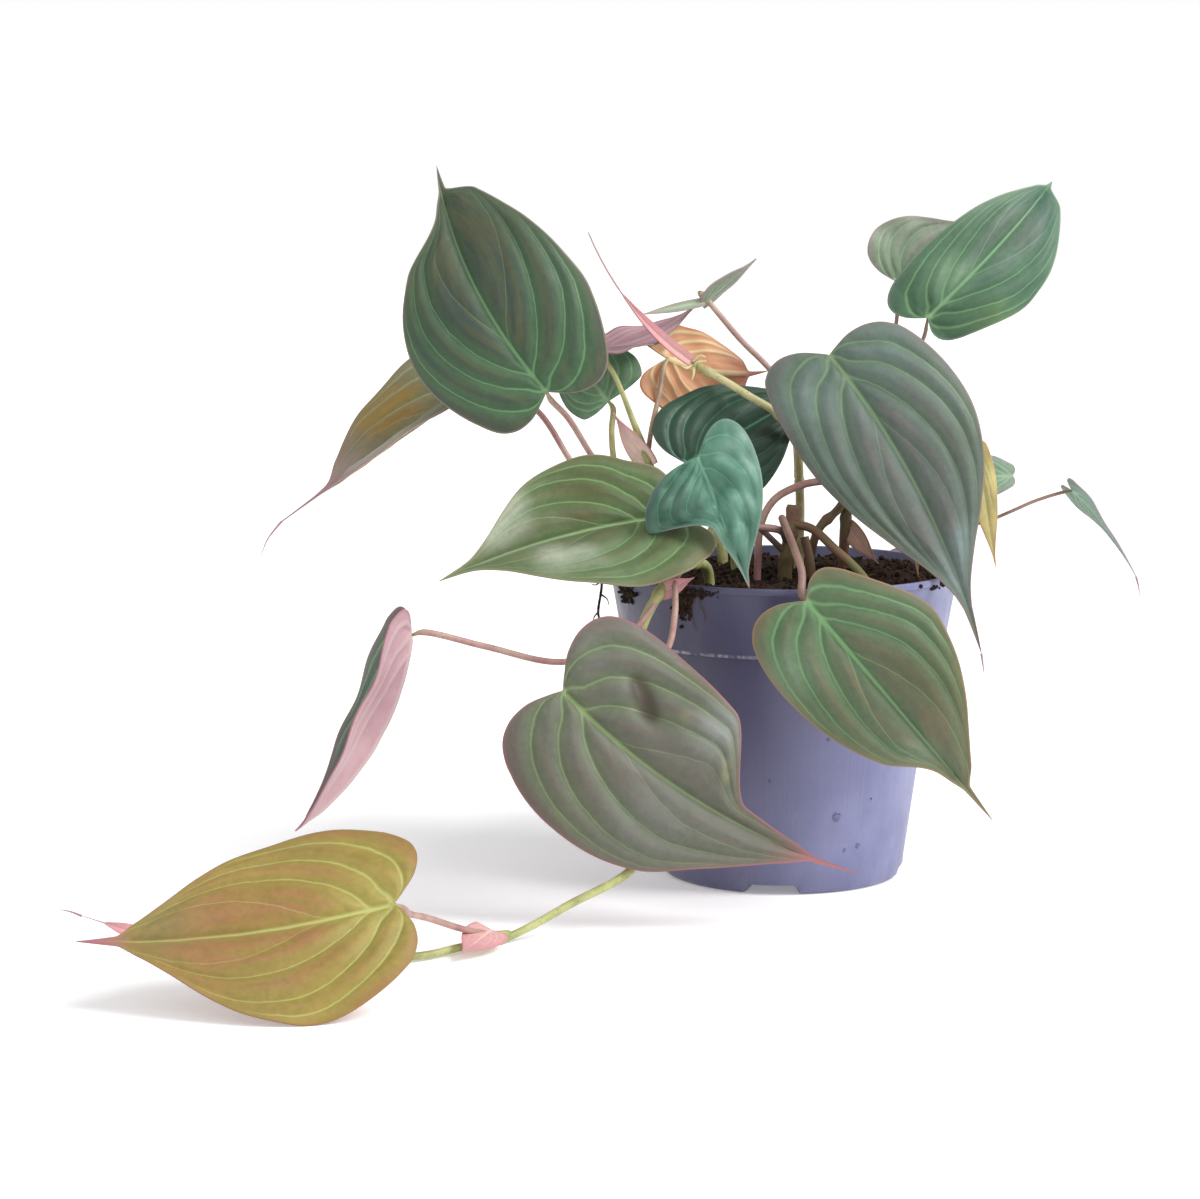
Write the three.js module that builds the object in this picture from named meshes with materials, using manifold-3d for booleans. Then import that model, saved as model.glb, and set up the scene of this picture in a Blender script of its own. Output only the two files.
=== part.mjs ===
// Potted trailing philodendron with velvety heart-shaped leaves, in a 12 cm nursery pot.
// Millimetres, +Z up. The origin is on the surface, under the middle of the pot.
// The front of the plant looks along -Y.
import * as THREE from "three";
import { mergeVertices } from "three/addons/utils/BufferGeometryUtils.js";
import Module from "manifold-3d";

const wasm = await Module();
wasm.setup();

// Pot
const potHeight = 106;
const rimRadius = 60;
const lipHeight = 2.6;
const lipProud = 0.7;
const collarHeight = 24; // the band under the rim
const collarFootRadius = 55.6;
const bodyTopRadius = 52.6; // under the collar
const bodyFootRadius = 41.4;
const footRounding = 2.4;
const wall = 1.2;
const floorRise = 3.3; // height of the drainage channels under the floor
const landRadius = 14; // flat middle of the floor, which the pot rests on
const channelRadius = 33; // outer edge of the ring channel
const potSides = 48;
const notchWidth = 18;
const notchCount = 4;
const notchTurn = -97.5; // degrees from +X to the first notch, which is square to a facet
const drainHoles = 8;
const drainSides = 6;
const drainRadius = 3;
const drainRing = 24;

// Soil
const soilTop = 102.5;
const soilRipple = 1.3;
const soilBottom = floorRise + wall + 0.4;
const soilRings = [14, 28, 42, 52]; // radii of the rings of its rough top

// Growth
const clearance = 0.3; // between pieces that touch
const bladeGap = 0.5; // under a blade, whose folds bring its two faces closer
const bladeThickness = 0.8;
const smallBladeThickness = 0.7;
const smallBladeWidth = 34; // blades narrower than this take the thin sheet
const wideBladeWidth = 50; // and wider ones have a third line of facets on each half
const petioleRadius = 1.05;
const holeClearance = 0.7; // round each stem in the soil
const vineSides = 6;
const petioleSides = 5;
const stemStep = 9; // length of one straight piece of a stem

const colours = {
  pot: 0x6f7098,
  soil: 0x1d1512,
  deepGreen: 0x35573f,
  slateGreen: 0x56665a,
  bronzeGreen: 0x5f6a4c,
  darkGreen: 0x1f3a2c,
  jadeGreen: 0x4f8f7a,
  freshGreen: 0x5a9064,
  ochre: 0xa07f4c,
  olive: 0x8a8440,
  coral: 0xd98a52,
  rose: 0xb88a94,
  greyGreen: 0x8d958c,
  vine: 0xb4b25a,
  petiole: 0xa8807a,
  brownStem: 0x7a5048,
  sheath: 0xd79aa2,
  root: 0x3a2620,
};

function finish(colour, roughness) {
  return new THREE.MeshStandardMaterial({ color: colour, roughness, metalness: 0 });
}

// Solids

// The closed solid of a geometry, with its faces pointing out.
function solidOf(geometry) {
  const bare = geometry.clone();
  bare.deleteAttribute("normal");
  bare.deleteAttribute("uv");
  const merged = mergeVertices(bare, 1e-4);
  const solid = (triVerts) =>
    new wasm.Manifold(
      new wasm.Mesh({
        numProp: 3,
        vertProperties: new Float32Array(merged.attributes.position.array),
        triVerts,
      }),
    );
  const faces = Uint32Array.from(merged.index.array);
  const made = solid(faces);
  if (made.volume() > 0) return made;
  return solid(Uint32Array.from({ length: faces.length }, (_, i) => faces[i - (i % 3) + 2 - (i % 3)]));
}

function geometryOf(solid) {
  const mesh = solid.getMesh();
  const geometry = new THREE.BufferGeometry();
  const places = Float32Array.from(mesh.vertProperties);
  geometry.setAttribute("position", new THREE.BufferAttribute(places, 3));
  geometry.setIndex(new THREE.BufferAttribute(Uint32Array.from(mesh.triVerts), 1));
  geometry.computeVertexNormals();
  return geometry;
}

const plant = new THREE.Group();

function addPiece(name, solid, colour, roughness = 0.7) {
  const mesh = new THREE.Mesh(geometryOf(solid), finish(colour, roughness));
  mesh.name = name;
  plant.add(mesh);
}

function vector(point) {
  return new THREE.Vector3(...point);
}

// A round stem along a smooth curve through the points, which narrows from one radius to the other.
function stem(points, radius, endRadius, sides) {
  const path = new THREE.CatmullRomCurve3(points.map(vector), false, "centripetal");
  const steps = Math.max(4, Math.ceil(path.getLength() / stemStep));
  const section = new THREE.Shape();
  for (let i = 0; i < sides; i++) {
    const turn = (i / sides) * 2 * Math.PI;
    section[i ? "lineTo" : "moveTo"](radius * Math.cos(turn), radius * Math.sin(turn));
  }
  const geometry = new THREE.ExtrudeGeometry(section, { steps, extrudePath: path });
  if (endRadius !== radius) {
    const centres = path.getSpacedPoints(steps);
    const place = geometry.attributes.position;
    const at = new THREE.Vector3();
    for (let i = 0; i < place.count; i++) {
      at.fromBufferAttribute(place, i);
      const distances = centres.map((centre) => centre.distanceToSquared(at));
      const nearest = distances.indexOf(Math.min(...distances));
      const scale = 1 + (endRadius / radius - 1) * (nearest / steps);
      at.sub(centres[nearest]).multiplyScalar(scale).add(centres[nearest]);
      place.setXYZ(i, at.x, at.y, at.z);
    }
  }
  return solidOf(geometry);
}

// Blades

// The outline of one half of a heart-shaped blade, from the notch where the petiole joins to the tip.
// Each row gives the place on the margin and the place on the midrib that the line across starts from:
// [margin along, margin across, midrib along], along in blade lengths and across in half widths.
const outline = [
  [-0.03, 0.12, 0.015],
  [-0.07, 0.32, 0.04],
  [-0.08, 0.55, 0.075],
  [-0.045, 0.76, 0.12],
  [0.05, 0.93, 0.18],
  [0.19, 1.0, 0.27],
  [0.36, 0.95, 0.39],
  [0.52, 0.78, 0.51],
  [0.66, 0.53, 0.63],
  [0.78, 0.28, 0.75],
  [0.88, 0.11, 0.86],
  [0.95, 0.05, 0.94],
];

const bladeDefaults = {
  face: 0, // degrees that the upper face is turned about the midrib, from facing the front
  sag: 0, // how far the midrib bows towards the upper face
  bend: 0, // how far the midrib bows sideways
  fold: 12, // degrees that each half rises from the midrib
  lean: 0, // degrees that one half rises more than the other
  curl: 30, // degrees that the halves turn down again by the margin
  twist: 0, // degrees that the tip is turned against the base
  wave: 1, // height of the ripple along the margin
  ripples: 2.5,
  lobe: 1, // depth of the two lobes behind the notch
  uneven: 0, // share by which one half is wider
  cant: 0, // how far the lines across lean back on one half, at the base
  tail: 0, // share of the length that is a drip tip
  full: 0, // how much rounder the outline is towards the tip
  pinch: 0, // share by which it is narrower at the lobes
  slim: 0, // share by which one half is narrower from the middle to the tip
  hook: 0, // how far the last quarter curves towards the upper face
  sideHook: 0, // and sideways
};

const radians = THREE.MathUtils.degToRad;

// The axes of a blade: along its chord, across it, and out of its upper face.
function bladeAxes(blade) {
  const base = vector(blade.base);
  const along = vector(blade.tip).sub(base);
  const length = along.length();
  along.normalize();
  const up = new THREE.Vector3(0, -1, 0);
  up.addScaledVector(along, -up.dot(along)).normalize();
  up.applyAxisAngle(along, radians(blade.face));
  const across = new THREE.Vector3().crossVectors(up, along);
  return { base, along, across, up, length };
}

// The place of a point of the flat blade, once the blade is bowed, folded, curled, twisted and rippled.
function bladePoint(blade, axes, u, v) {
  const s = u / axes.length;
  const side = Math.sign(v);
  const reach = Math.abs(v);
  const half = blade.width / 2;
  const bow = s < 0 ? 1.5 * s : 4 * s * (1 - s);
  const tail = 16 * Math.max(0, s - 0.75) ** 2;
  const roll = radians(blade.twist) * (s - 0.5);
  const across = axes.across.clone().applyAxisAngle(axes.along, roll);
  const up = axes.up.clone().applyAxisAngle(axes.along, roll);
  const rise = radians(blade.fold + side * blade.lean);
  const turn = radians(blade.curl) / half + 1e-6;
  const outward = (Math.sin(rise) - Math.sin(rise - turn * reach)) / turn;
  const ripple = blade.wave * (reach / half) ** 2 * Math.sin(2 * Math.PI * blade.ripples * s + side);
  const upward = (Math.cos(rise - turn * reach) - Math.cos(rise)) / turn + ripple;
  return axes.base
    .clone()
    .addScaledVector(axes.along, u)
    .addScaledVector(axes.up, blade.sag * bow + blade.hook * tail)
    .addScaledVector(axes.across, blade.bend * bow + blade.sideHook * tail)
    .addScaledVector(across, side * outward)
    .addScaledVector(up, upward);
}

// A blade as a closed sheet. lower and upper are how far its two faces lie from its middle surface,
// and grown is how far its margin is moved out.
function bladeSolid(blade, lower, upper, grown = 0) {
  const axes = bladeAxes(blade);
  const half = blade.width / 2;
  const columns = blade.width > wideBladeWidth ? 3 : 2; // lines from the midrib to each margin
  const rows = [];
  for (const [marginAlong, marginAcross, midrib] of outline) {
    const row = [];
    for (let j = -columns; j <= columns; j++) {
      const w = Math.abs(j) / columns;
      const side = Math.sign(j);
      const deep = marginAlong < 0 ? marginAlong * blade.lobe : marginAlong;
      const rounder = marginAlong > 0.2 ? 1 / (1 + blade.full) : 1;
      const atLobes = blade.pinch * (1 - THREE.MathUtils.smoothstep(midrib, 0.1, 0.4));
      const beyond = side < 0 ? blade.slim * THREE.MathUtils.smoothstep(midrib, 0.27, 0.51) : 0;
      const swell = marginAcross ** rounder * (1 - atLobes) * (1 - beyond);
      const v = side * swell * w * half * (1 + side * blade.uneven);
      const body = axes.length * (1 - blade.tail);
      const u = (midrib * (1 - w) + deep * w) * body - blade.cant * v * (1 - midrib) ** 2;
      row.push(bladePoint(blade, axes, u, v));
    }
    rows.push(row);
  }
  const start = bladePoint(blade, axes, 0, 0);
  const end = bladePoint(blade, axes, axes.length, 0);
  const middle = [start, ...rows.flat(), end];
  const width = 2 * columns + 1;
  const last = middle.length - 1;
  const at = (i, j) => 1 + i * width + j;
  const faces = [];
  for (let j = 0; j < width - 1; j++) {
    faces.push([0, at(0, j + 1), at(0, j)]);
    for (let i = 0; i < rows.length - 1; i++) {
      const corners = [at(i, j), at(i, j + 1), at(i + 1, j + 1), at(i + 1, j)];
      const split = j < columns ? [0, 1, 2, 0, 2, 3] : [1, 2, 3, 1, 3, 0]; // alike on both halves
      faces.push([corners[split[0]], corners[split[1]], corners[split[2]]]);
      faces.push([corners[split[3]], corners[split[4]], corners[split[5]]]);
    }
    faces.push([last, at(rows.length - 1, j), at(rows.length - 1, j + 1)]);
  }
  // Each point moves out of the sheet along the mean of its faces' normals.
  const normals = middle.map(() => new THREE.Vector3());
  const plane = new THREE.Plane();
  for (const face of faces) {
    plane.setFromCoplanarPoints(...face.map((i) => middle[i]));
    for (const i of face) normals[i].add(plane.normal);
  }
  normals.forEach((normal) => normal.normalize());
  const outwards = normals[at(3, columns)].dot(axes.up) > 0 ? 1 : -1;
  const rimLoop = [0];
  for (let i = 0; i < rows.length; i++) rimLoop.push(at(i, 0));
  rimLoop.push(last);
  for (let i = rows.length - 1; i >= 0; i--) rimLoop.push(at(i, width - 1));
  const shape = middle.map((p) => p.clone());
  rimLoop.forEach((index, i) => {
    const next = middle[rimLoop[(i + 1) % rimLoop.length]];
    const before = middle[rimLoop[(i + rimLoop.length - 1) % rimLoop.length]];
    const out = new THREE.Vector3().subVectors(next, before).cross(normals[index]).normalize();
    shape[index].addScaledVector(out, outwards * grown);
  });
  const shifted = (by) => shape.map((p, i) => p.clone().addScaledVector(normals[i], outwards * by));
  const vertices = [...shifted(upper), ...shifted(-lower)];
  const count = middle.length;
  const triangles = [];
  for (const [a, b, c] of faces) {
    triangles.push(a, b, c);
    triangles.push(count + c, count + b, count + a);
  }
  rimLoop.forEach((a, i) => {
    const b = rimLoop[(i + 1) % rimLoop.length];
    triangles.push(a, b, count + b, a, count + b, count + a);
  });
  const geometry = new THREE.BufferGeometry();
  const places = vertices.flatMap((p) => p.toArray());
  geometry.setAttribute("position", new THREE.Float32BufferAttribute(places, 3));
  geometry.setIndex(triangles);
  return solidOf(geometry);
}

// base is where the petiole joins, tip is the end of the midrib.
const bladeList = [
  // left side
  { name: "blade_upper_left", base: [-81, -15, 167], tip: [-119, 18, 242], width: 66, bend: 4, sag: 5,
      cant: 0.12, full: 0.9, tail: 0.06, lobe: 1.3, pinch: 0.2, colour: "deepGreen" },
  { name: "blade_far_left", base: [-103, 25, 169], tip: [-172.5, 1, 121], width: 50, face: 66,
      fold: 30, curl: 10, tail: 0.12, colour: "ochre" },
  { name: "blade_behind_left", base: [-60, 14, 160], tip: [-84, 10, 176], width: 19, face: 50,
      fold: 30, lobe: 1.4, colour: "freshGreen" },
  { name: "blade_mid_left", base: [-44.5, -41, 127.5], tip: [-115, -68, 110], width: 58, face: 42,
      fold: 24, curl: 24, bend: -3.5, cant: 0.15, uneven: 0.09, lobe: 1.8, tail: 0.06,
      colour: "bronzeGreen" },
  { name: "blade_edge_left", base: [-124, -70, 93], tip: [-161.5, -80, 30], width: 47, face: 82,
      fold: 40, curl: 20, sag: -8, pinch: 0.25, full: 0.3, colour: "rose" },
  { name: "blade_on_floor", base: [-123.5, -184, 29.7], tip: [-215.5, -196, 21.2], width: 67,
      face: 45, bend: 4, cant: -0.14, uneven: 0.03, pinch: 0.15, full: 0.3, tail: 0.08,
      colour: "ochre" },
  // centre
  { name: "blade_front", base: [-75, -80, 76], tip: [21, -90, 18], width: 71, face: -15, bend: -7.5,
      cant: -0.12, tail: 0.1, lobe: 0.9, colour: "slateGreen" },
  { name: "blade_centre_small", base: [-31, -50, 148.5], tip: [-14.5, -64, 107], width: 43,
      cant: 0.55, uneven: -0.15, slim: 0.8, colour: "jadeGreen" },
  { name: "blade_centre_dark", base: [-34, -12, 142], tip: [10, 8, 166], width: 44, face: -20,
      colour: "darkGreen" },
  { name: "blade_coral", base: [-40, 18, 176], tip: [-4, 28, 171], width: 32, face: 150, fold: 25,
      bend: 3, uneven: 0.15, lobe: 3.4, full: 0.4, colour: "coral" },
  { name: "blade_rose_underside", base: [-63, 8, 180], tip: [-30, 22, 194], width: 24, face: 110,
      fold: -5, curl: 10, sag: 3.5, colour: "rose" },
  { name: "blade_edge_top", base: [-27, 20, 195], tip: [-9, 24, 210], width: 12, face: 70,
      colour: "greyGreen" },
  // right side
  { name: "blade_right", base: [14, -15, 179.5], tip: [63.5, -45, 82], width: 61, bend: 6, cant: -0.1,
      uneven: 0.04, lobe: 0.6, pinch: 0.08, full: 0.05, tail: 0.1, colour: "slateGreen" },
  { name: "blade_front_right", base: [3.7, -68, 103.5], tip: [64, -82, 33.5], width: 56, uneven: 0.16,
      cant: -0.22, lobe: 0.2, pinch: 0.08, full: 0.2, tail: 0.05, colour: "bronzeGreen" },
  { name: "blade_top_right", base: [50.5, 25, 189.5], tip: [96, 50, 236], width: 41, sag: 12,
      cant: 0.4, uneven: -0.19, lobe: 0.5, pinch: 0.2, full: 0.8, colour: "freshGreen" },
  { name: "blade_behind_top_right", base: [40.5, 42, 201.5], tip: [68, 52, 223], width: 37,
      colour: "greyGreen" },
  { name: "blade_olive_edge", base: [67, -10, 148.5], tip: [70.5, -20, 108.5], width: 20, face: 80,
      colour: "olive" },
  { name: "blade_small_right", base: [68, 8, 140], tip: [72, 6, 116], width: 20, colour: "freshGreen" },
  { name: "blade_far_right", base: [100.5, 15, 130.5], tip: [122, 5, 101], width: 15, face: 75,
      sag: -3, lobe: 0.7, colour: "jadeGreen" },
  { name: "blade_low_right", base: [41.5, 5, 147], tip: [43.5, -30, 105.5], width: 32, tail: 0.1,
      colour: "bronzeGreen" },
  // back
  { name: "blade_back_hanging", base: [-8, 84, 88], tip: [-2, 92, 15], width: 52, face: 180,
      tail: 0.08, colour: "deepGreen" },
  { name: "blade_back_side", base: [38, 80, 97], tip: [47, 95, 42], width: 38, face: 180, tail: 0.08,
      colour: "slateGreen" },
  { name: "blade_back_right", base: [36, 52, 160], tip: [54, 90, 116], width: 46, face: 180, sag: 4,
      colour: "bronzeGreen" },
  { name: "blade_back_left", base: [-50, 40, 128], tip: [-86, 74, 112], width: 38, face: 150,
      colour: "deepGreen" },
];

const blades = new Map(bladeList.map((blade) => [blade.name, { ...bladeDefaults, ...blade }]));

function thicknessOf(blade) {
  return blade.width > smallBladeWidth ? bladeThickness : smallBladeThickness;
}

for (const blade of blades.values()) {
  const half = thicknessOf(blade) / 2;
  addPiece(blade.name, bladeSolid(blade, half, half), colours[blade.colour]);
}

// Stems

// Each vine is one piece with its petioles. The first runs of a rooted vine stand in the soil: their
// first point is in the soil and their second one above it. A run with "to" is a petiole, and ends at
// the notch of that blade.
const vines = [
  {
    name: "vine_left",
    colour: "vine",
    runs: [
      { rooted: true, radius: 2.1, end: 1.6, path: [[-16, 14, 84], [-16, 14, 108], [-20, 13, 124],
          [-32, 10, 133], [-46, 7, 136], [-58, 4, 137], [-70, 1, 136]] },
      { to: "blade_upper_left", path: [[-61, 3, 137], [-66, -2, 144.5], [-74, -9, 158]] },
      { to: "blade_far_left", path: [[-69, 1, 136], [-74, 2, 143.5], [-83, 9, 157], [-95, 19, 166]] },
      { to: "blade_behind_left", path: [[-57, 4, 137], [-58.5, 8, 143.5], [-59, 12, 152]] },
      { to: "blade_rose_underside", radius: 1.5, path: [[-45, 7, 136], [-46.5, 4.5, 142],
          [-51.5, 5, 155], [-56, 6, 168]] },
      { to: "blade_coral", path: [[-43, 7.5, 135], [-44, 8, 142], [-44.5, 9, 151.5],
          [-42.5, 13, 163]] },
      { to: "blade_centre_dark", path: [[-28, 11, 131], [-32, 4, 135], [-36, -5, 139]] },
      { to: "blade_back_left", path: [[-48, 7, 136], [-48, 20, 136], [-48, 32, 133]] },
    ],
  },
  {
    name: "vine_upper",
    colour: "vine",
    runs: [
      { rooted: true, radius: 2, end: 1.7, path: [[6, 16, 84], [6, 16, 108], [6, 15, 130],
          [2.5, 12, 150], [-4, 10, 158.5], [-12, 10.5, 163.5], [-20, 11, 168.5], [-31, 12, 174.5]] },
      { to: "blade_edge_top", path: [[5.5, 14.5, 135], [3, 16, 158], [-3, 16, 170.5], [-15, 18, 183]] },
    ],
  },
  {
    name: "vine_right",
    colour: "brownStem",
    runs: [
      { rooted: true, radius: 2.2, end: 1.7, path: [[21, 6, 84], [21, 6, 108], [21.5, 6, 122],
          [24, 9, 136], [28, 12, 150]] },
      { rooted: true, radius: 1.5, path: [[8, 2, 84], [9, 1, 108], [12, 0, 119], [19, 4, 125.5],
          [24, 8, 133]] },
      { to: "blade_right", path: [[22, 7, 128], [20, 3, 148], [16, -5, 168]] },
      { to: "blade_top_right", path: [[28, 12, 150], [36, 18, 164], [45, 22, 176], [50, 24, 183]] },
      { to: "blade_behind_top_right", path: [[27, 12, 146], [33, 26, 168], [40.5, 36, 185]] },
      { to: "blade_olive_edge", path: [[23, 8, 134], [40, 13, 138], [54, 13, 143], [63, 6, 148]] },
      { to: "blade_small_right", path: [[23, 8, 131], [42, 13, 137], [58, 12, 141]] },
      { to: "blade_far_right", radius: 0.8, path: [[22, 7, 126], [45, 10, 118], [60, 13, 117.5],
          [72.5, 14, 120.5], [78.5, 14, 124], [88, 15, 127]] },
      { to: "blade_back_right", path: [[26, 11, 142], [31, 28, 158], [34, 42, 165]] },
    ],
  },
  {
    name: "vine_trailing",
    colour: "vine",
    runs: [
      { rooted: true, radius: 2, end: 1.5, path: [[-26, -24, 84], [-27, -26, 108], [-32, -36, 111.5],
          [-38, -46, 110.5], [-43.5, -53, 104], [-49, -57, 94], [-53, -64, 76], [-52.5, -72, 52],
          [-51, -81, 34], [-51.5, -88, 21], [-73, -99.5, 10], [-92, -109.5, 2.2], [-106, -122, 2.1],
          [-119, -134, 2.1], [-150, -140, 2.1], [-185, -131, 2.5], [-205, -122, 4.5]] },
      { to: "blade_edge_left", path: [[-42, -51, 106], [-48, -58, 97], [-60, -62, 86],
          [-77, -62, 82.5], [-100, -65, 88]] },
      { to: "blade_front", path: [[-33, -38, 111.5], [-38, -52, 108.5], [-38.5, -59, 98],
          [-41, -63, 87], [-52, -68, 76], [-66, -74, 73]] },
      { to: "blade_on_floor", path: [[-92, -109.5, 2.8], [-100, -117, 5], [-106, -126, 8.5],
          [-115.5, -152, 18], [-120, -172, 24]] },
    ],
  },
  {
    name: "stem_cluster",
    colour: "brownStem",
    runs: [
      { rooted: true, radius: 2.7, end: 2.4, path: [[0, -10, 84], [0, -11, 108], [1.5, -12, 118],
          [3, -10, 128]] },
      { to: "blade_front_right", radius: 1.3, path: [[1, -12, 116], [-1.5, -26, 124],
          [-2.5, -38, 126.5], [0.5, -52, 119], [2.8, -60, 111.5]] },
      { to: "blade_mid_left", radius: 1.3, path: [[0.5, -12, 117], [-3, -20, 121], [-14, -24, 122.5],
          [-30, -34, 125.5]] },
      { to: "blade_centre_small", path: [[0, -11, 112], [-11, -22, 124], [-21, -34, 139]] },
      { radius: 1.5, planted: true, path: [[2, -12, 122], [8, -15, 121], [16, -27, 115],
          [23.5, -38.5, 108.5], [26.5, -43, 104], [28, -45, 98]] },
    ],
  },
  {
    name: "stem_arching",
    colour: "vine",
    runs: [
      { rooted: true, radius: 1.3, path: [[-10, -14, 84], [-9.5, -13, 108], [-8.4, -12, 122],
          [-3.6, -8, 130], [6, -4, 134.5], [20, -1, 137], [33, 2, 145]], to: "blade_low_right" },
    ],
  },
  {
    name: "stem_stub",
    colour: "brownStem",
    runs: [{ rooted: true, radius: 1.6, path: [[9, -10, 84], [8.5, -10, 108], [6.5, -8, 117]] }],
  },
  {
    name: "vine_back",
    colour: "vine",
    runs: [
      { rooted: true, radius: 2, end: 1.5, path: [[-20, 34, 84], [-20, 36, 108], [-22, 48, 112.5],
          [-23, 60, 110], [-22, 68, 98], [-19, 71, 75], [-17, 74, 45], [-18, 77, 22]] },
      { to: "blade_back_hanging", path: [[-22, 67.5, 99], [-18, 76, 99], [-11, 83, 94]] },
      { to: "blade_back_side", path: [[-22.5, 67, 100], [-8, 73, 100], [15, 78, 102]] },
    ],
  },
];

// The runs of a vine as solids, all of them thicker by the same amount.
function runSolids(vine, thicker) {
  return vine.runs.map((run) => {
    const points = [...run.path];
    if (run.to) {
      const axes = bladeAxes(blades.get(run.to));
      const under = axes.base.clone().addScaledVector(axes.along, -2).addScaledVector(axes.up, -3);
      points.push(under.toArray(), axes.base.toArray());
    } else if (!run.planted) {
      const [before, last] = points.slice(-2).map(vector);
      const onward = last.clone().sub(before).normalize();
      points[points.length - 1] = last.addScaledVector(onward, thicker).toArray();
    }
    const radius = (run.radius ?? petioleRadius) + thicker;
    const end = (run.end ?? run.radius ?? petioleRadius) + thicker;
    return stem(points, radius, end, run.rooted ? vineSides : petioleSides);
  });
}

function join(solids) {
  return solids.reduce((all, one) => all.add(one));
}

function largestBody(solid) {
  return solid.decompose().sort((a, b) => b.volume() - a.volume())[0];
}

const holes = [];
for (const vine of vines) {
  let solid = join(runSolids(vine, 0));
  for (const run of vine.runs) {
    if (run.to) {
      const blade = blades.get(run.to);
      const half = thicknessOf(blade) / 2;
      const cutter = bladeSolid(blade, half + bladeGap, half + petioleRadius, 2 * clearance);
      solid = solid.subtract(cutter);
    }
    if (!run.rooted && !run.planted) continue;
    const [first, ...rest] = run.planted ? run.path.toReversed() : run.path;
    const deeper = [first[0], first[1], first[2] - 2 * clearance];
    const wide = run.radius + holeClearance;
    holes.push(stem([deeper, ...rest], wide, wide, vineSides));
  }
  addPiece(vine.name, largestBody(solid), colours[vine.colour]);
}

// Sheaths: thin pointed leaves that wrapped a young leaf, and each rises from its vine.
const sheathList = [
  { name: "spike_new_leaf", on: "vine_upper", base: [-30, 12, 174], tip: [-67, -2, 220], width: 6,
      face: 30, fold: 40, bend: 5, full: 0.6, tail: 0.35, lobe: 0 },
  { name: "sheath_upper", on: "vine_left", base: [-46, 5.5, 140], tip: [-58.5, 2, 158.5], width: 10,
      face: -30, fold: 20, lobe: 0 },
  { name: "sheath_rim", on: "vine_trailing", base: [-43, -53, 104], tip: [-32, -55, 109.5], width: 6,
      face: -20, fold: 15, lobe: 0 },
  { name: "sheath_floor", on: "vine_trailing", base: [-97, -114, 4.5], tip: [-107, -138, 2],
      width: 14, face: 60, fold: 4, curl: 0, lobe: 0 },
  { name: "spike_floor", on: "vine_trailing", base: [-203, -122, 4.5], tip: [-226, -118, 11],
      width: 5, face: 20, fold: 30, full: 0.6, tail: 0.3, lobe: 0 },
  { name: "sheath_withered", on: "vine_right", base: [22, 7, 119], tip: [32, -6, 107.5], width: 7,
      face: 10, fold: 20, lobe: 0 },
];

// A solid cut clear of the vine that it grows from.
function clearOf(solid, vineName) {
  const host = vines.find((vine) => vine.name === vineName);
  return largestBody(solid.subtract(join(runSolids(host, clearance * 1.2))));
}

for (const sheath of sheathList) {
  const half = smallBladeThickness / 2;
  const solid = bladeSolid({ ...bladeDefaults, wave: 0, ...sheath }, half, half);
  addPiece(sheath.name, clearOf(solid, sheath.on), colours.sheath);
}

// Pot

function turned(profile, sides) {
  const points = profile.map(([r, z]) => new THREE.Vector2(r, z));
  return new THREE.LatheGeometry(points, sides).rotateX(Math.PI / 2);
}

function boxAt(width, depth, height, x, y, z) {
  return solidOf(new THREE.BoxGeometry(width, depth, height).translate(x, y, z));
}

const collarFoot = potHeight - collarHeight;
const floorRadius = bodyFootRadius - wall + 0.24; // of the floor's upper face
const potProfile = [
  [0, 0],
  [landRadius, 0],
  [landRadius + 2, floorRise],
  [channelRadius, floorRise],
  [channelRadius + 2, 0],
  [bodyFootRadius - footRounding, 0],
  [bodyFootRadius, footRounding],
  [bodyTopRadius, collarFoot - 0.4],
  [collarFootRadius, collarFoot],
  [rimRadius - lipProud, potHeight - lipHeight],
  [rimRadius, potHeight - lipHeight + 0.5],
  [rimRadius, potHeight],
  [rimRadius - wall - 0.4, potHeight],
  [collarFootRadius - wall, collarFoot + 0.6],
  [bodyTopRadius - wall, collarFoot - wall],
  [floorRadius, floorRise + wall],
  [0, floorRise + wall],
];

let pot = solidOf(turned(potProfile, potSides));
const notchFrom = channelRadius - 3;
const notchTo = bodyFootRadius + 3;
for (let i = 0; i < notchCount; i++) {
  // a low tunnel through the foot ring
  const tunnel = boxAt(notchTo - notchFrom, notchWidth, floorRise, (notchFrom + notchTo) / 2, 0, floorRise / 2);
  pot = pot.subtract(tunnel.rotate([0, 0, notchTurn + (i * 360) / notchCount]));
}
for (let i = 0; i < drainHoles; i++) {
  const turn = ((i + 0.5) / drainHoles) * 2 * Math.PI;
  const hole = new THREE.CylinderGeometry(drainRadius, drainRadius, 4 * wall, drainSides);
  hole.rotateX(Math.PI / 2);
  hole.translate(drainRing * Math.cos(turn), drainRing * Math.sin(turn), floorRise + wall / 2);
  pot = pot.subtract(solidOf(hole));
}
addPiece("pot", pot, colours.pot, 0.45);

// Soil, with a rough top

function insideRadius(z) {
  const climb = (z - footRounding) / (collarFoot - footRounding);
  return bodyFootRadius - wall + climb * (bodyTopRadius - bodyFootRadius) - clearance;
}

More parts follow.
